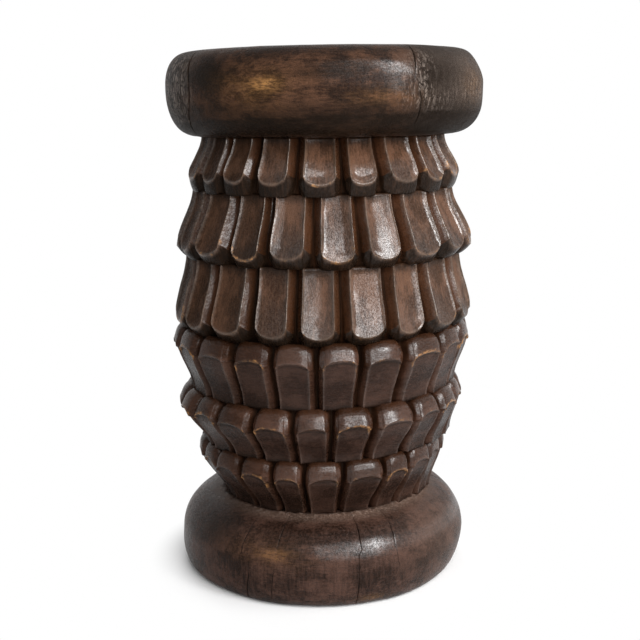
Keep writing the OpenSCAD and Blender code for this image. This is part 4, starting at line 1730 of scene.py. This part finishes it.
def soft_lamp(name, azimuth, elevation, distance, size, mirrored, power):
    """A rectangular softbox that faces the middle of the stool."""
    light = bpy.data.lights.new(name, "AREA")
    light.shape = "RECTANGLE"
    light.size, light.size_y = size
    light.energy = power
    lamp = bpy.data.objects.new(name, light)
    lamp.visible_glossy = mirrored
    bpy.context.scene.collection.objects.link(lamp)
    around, up = math.radians(azimuth), math.radians(elevation)
    place = Vector((distance * math.cos(up) * math.sin(around),
                    -distance * math.cos(up) * math.cos(around),
                    LAMP_TARGET.z + distance * math.sin(up)))
    lamp.location = place
    lamp.rotation_euler = (LAMP_TARGET - place).to_track_quat("-Z", "Y").to_euler()


# The camera that took the photograph, from the curves of the stool's tiers: its distance from
# the stool's axis and its height in metres, its tilt in degrees, its focal length in pixels of
# a 640 pixel frame, and how many pixels right of the middle the stool's axis lies
CAMERA_DISTANCE = 0.949
CAMERA_HEIGHT = 0.405
CAMERA_TILT = 11.20
FOCAL_PIXELS = 1093.0
FRAME_PIXELS = 640.0
AXIS_PIXELS = 2.5
SENSOR_WIDTH = 36.0


def build_camera():
    lens = bpy.data.cameras.new("camera")
    lens.sensor_width = SENSOR_WIDTH
    lens.lens = FOCAL_PIXELS / FRAME_PIXELS * SENSOR_WIDTH
    camera = bpy.data.objects.new("camera", lens)
    bpy.context.scene.collection.objects.link(camera)
    camera.location = (0, -CAMERA_DISTANCE, CAMERA_HEIGHT)
    camera.rotation_euler = (
        math.radians(90 - CAMERA_TILT), 0, math.atan(AXIS_PIXELS / FOCAL_PIXELS))
    bpy.context.scene.camera = camera


def build_world(brightness):
    """White for the camera and in reflections, and a plain level of light elsewhere."""
    world = bpy.data.worlds.new("studio")
    world.use_nodes = True
    tree = world.node_tree
    tree.nodes.clear()
    path = tree.nodes.new("ShaderNodeLightPath")
    seen = largest(*(Field(path.outputs[kind]) for kind in
                     ("Is Camera Ray", "Is Glossy Ray", "Is Transmission Ray")))
    light = tree.nodes.new("ShaderNodeBackground")
    light.inputs["Color"].default_value = (1, 1, 1, 1)
    connect(tree, blend(brightness, 1.0, seen), light.inputs["Strength"])
    out = tree.nodes.new("ShaderNodeOutputWorld")
    tree.links.new(light.outputs[0], out.inputs["Surface"])
    bpy.context.scene.world = world


# Half the floor's width, and the distances from the stool's axis between which the floor that
# keeps its shadow fades into the white background, all in metres
FLOOR_REACH = 6.0
FLOOR_FADE = (0.114, 0.160)
FLOOR_PAINT = (0.9, 0.9, 0.9, 1)


def build_floor():
    """A pale floor that keeps the stool's shadow and runs into the white background."""
    mesh = bpy.data.meshes.new("floor")
    corners = [(-1, -1), (1, -1), (1, 1), (-1, 1)]
    mesh.from_pydata([(x * FLOOR_REACH, y * FLOOR_REACH, 0) for x, y in corners], [],
                     [(0, 1, 2, 3)])
    floor = bpy.data.objects.new("floor", mesh)
    bpy.context.scene.collection.objects.link(floor)
    material = bpy.data.materials.new("pale_floor")
    material.use_nodes = True
    tree = material.node_tree
    tree.nodes.clear()
    paint = tree.nodes.new("ShaderNodeBsdfDiffuse")
    paint.inputs["Color"].default_value = FLOOR_PAINT
    glow = tree.nodes.new("ShaderNodeEmission")
    length = tree.nodes.new("ShaderNodeVectorMath")
    length.operation = "LENGTH"
    tree.links.new(object_vector(tree), length.inputs[0])
    far = rise(Field(length.outputs["Value"]), *FLOOR_FADE)
    path = tree.nodes.new("ShaderNodeLightPath")
    seen = larger(Field(path.outputs["Is Camera Ray"]), Field(path.outputs["Is Glossy Ray"]))
    mixed = tree.nodes.new("ShaderNodeMixShader")
    connect(tree, far * seen, mixed.inputs[0])
    tree.links.new(paint.outputs[0], mixed.inputs[1])
    tree.links.new(glow.outputs[0], mixed.inputs[2])
    out = tree.nodes.new("ShaderNodeOutputMaterial")
    tree.links.new(mixed.outputs[0], out.inputs["Surface"])
    mesh.materials.append(material)


class STOOL_OT_set_stage(bpy.types.Operator):
    """Set up the floor, the lamps and the camera"""

    bl_idname = "stool.set_stage"
    bl_label = "Set Stage"

    def execute(self, context):
        look = context.scene.stool
        build_camera()
        build_floor()
        build_world(look.world_light)
        powers = {"key": look.key_power, "core": look.core_power, "side": look.side_power,
                  "back": look.back_power}
        for name, lamp in LAMPS.items():
            soft_lamp(name, power=powers[name], **lamp)
        context.scene.view_settings.view_transform = "Standard"
        return {"FINISHED"}


class STOOL_PT_panel(bpy.types.Panel):
    """Steps that build the stool"""

    bl_label = "Carved Leaf Stool"
    bl_idname = "STOOL_PT_panel"
    bl_space_type = "VIEW_3D"
    bl_region_type = "UI"
    bl_category = "Stool"

    def draw(self, context):
        column = self.layout.column()
        for step in STEPS:
            column.operator(step.bl_idname)
        for name in StoolSettings.__annotations__:
            column.prop(context.scene.stool, name)


STEPS = (STOOL_OT_build_seat, STOOL_OT_build_leaf_rings, STOOL_OT_build_foot, STOOL_OT_set_stage)
CLASSES = (StoolSettings, *STEPS, STOOL_PT_panel)


def register():
    for cls in CLASSES:
        bpy.utils.register_class(cls)
    bpy.types.Scene.stool = PointerProperty(type=StoolSettings)


def unregister():
    del bpy.types.Scene.stool
    for cls in reversed(CLASSES):
        bpy.utils.unregister_class(cls)


def main():
    register()
    bpy.ops.stool.build_seat()
    bpy.ops.stool.build_leaf_rings()
    bpy.ops.stool.build_foot()
    bpy.ops.stool.set_stage()


if __name__ == "__main__":
    main()
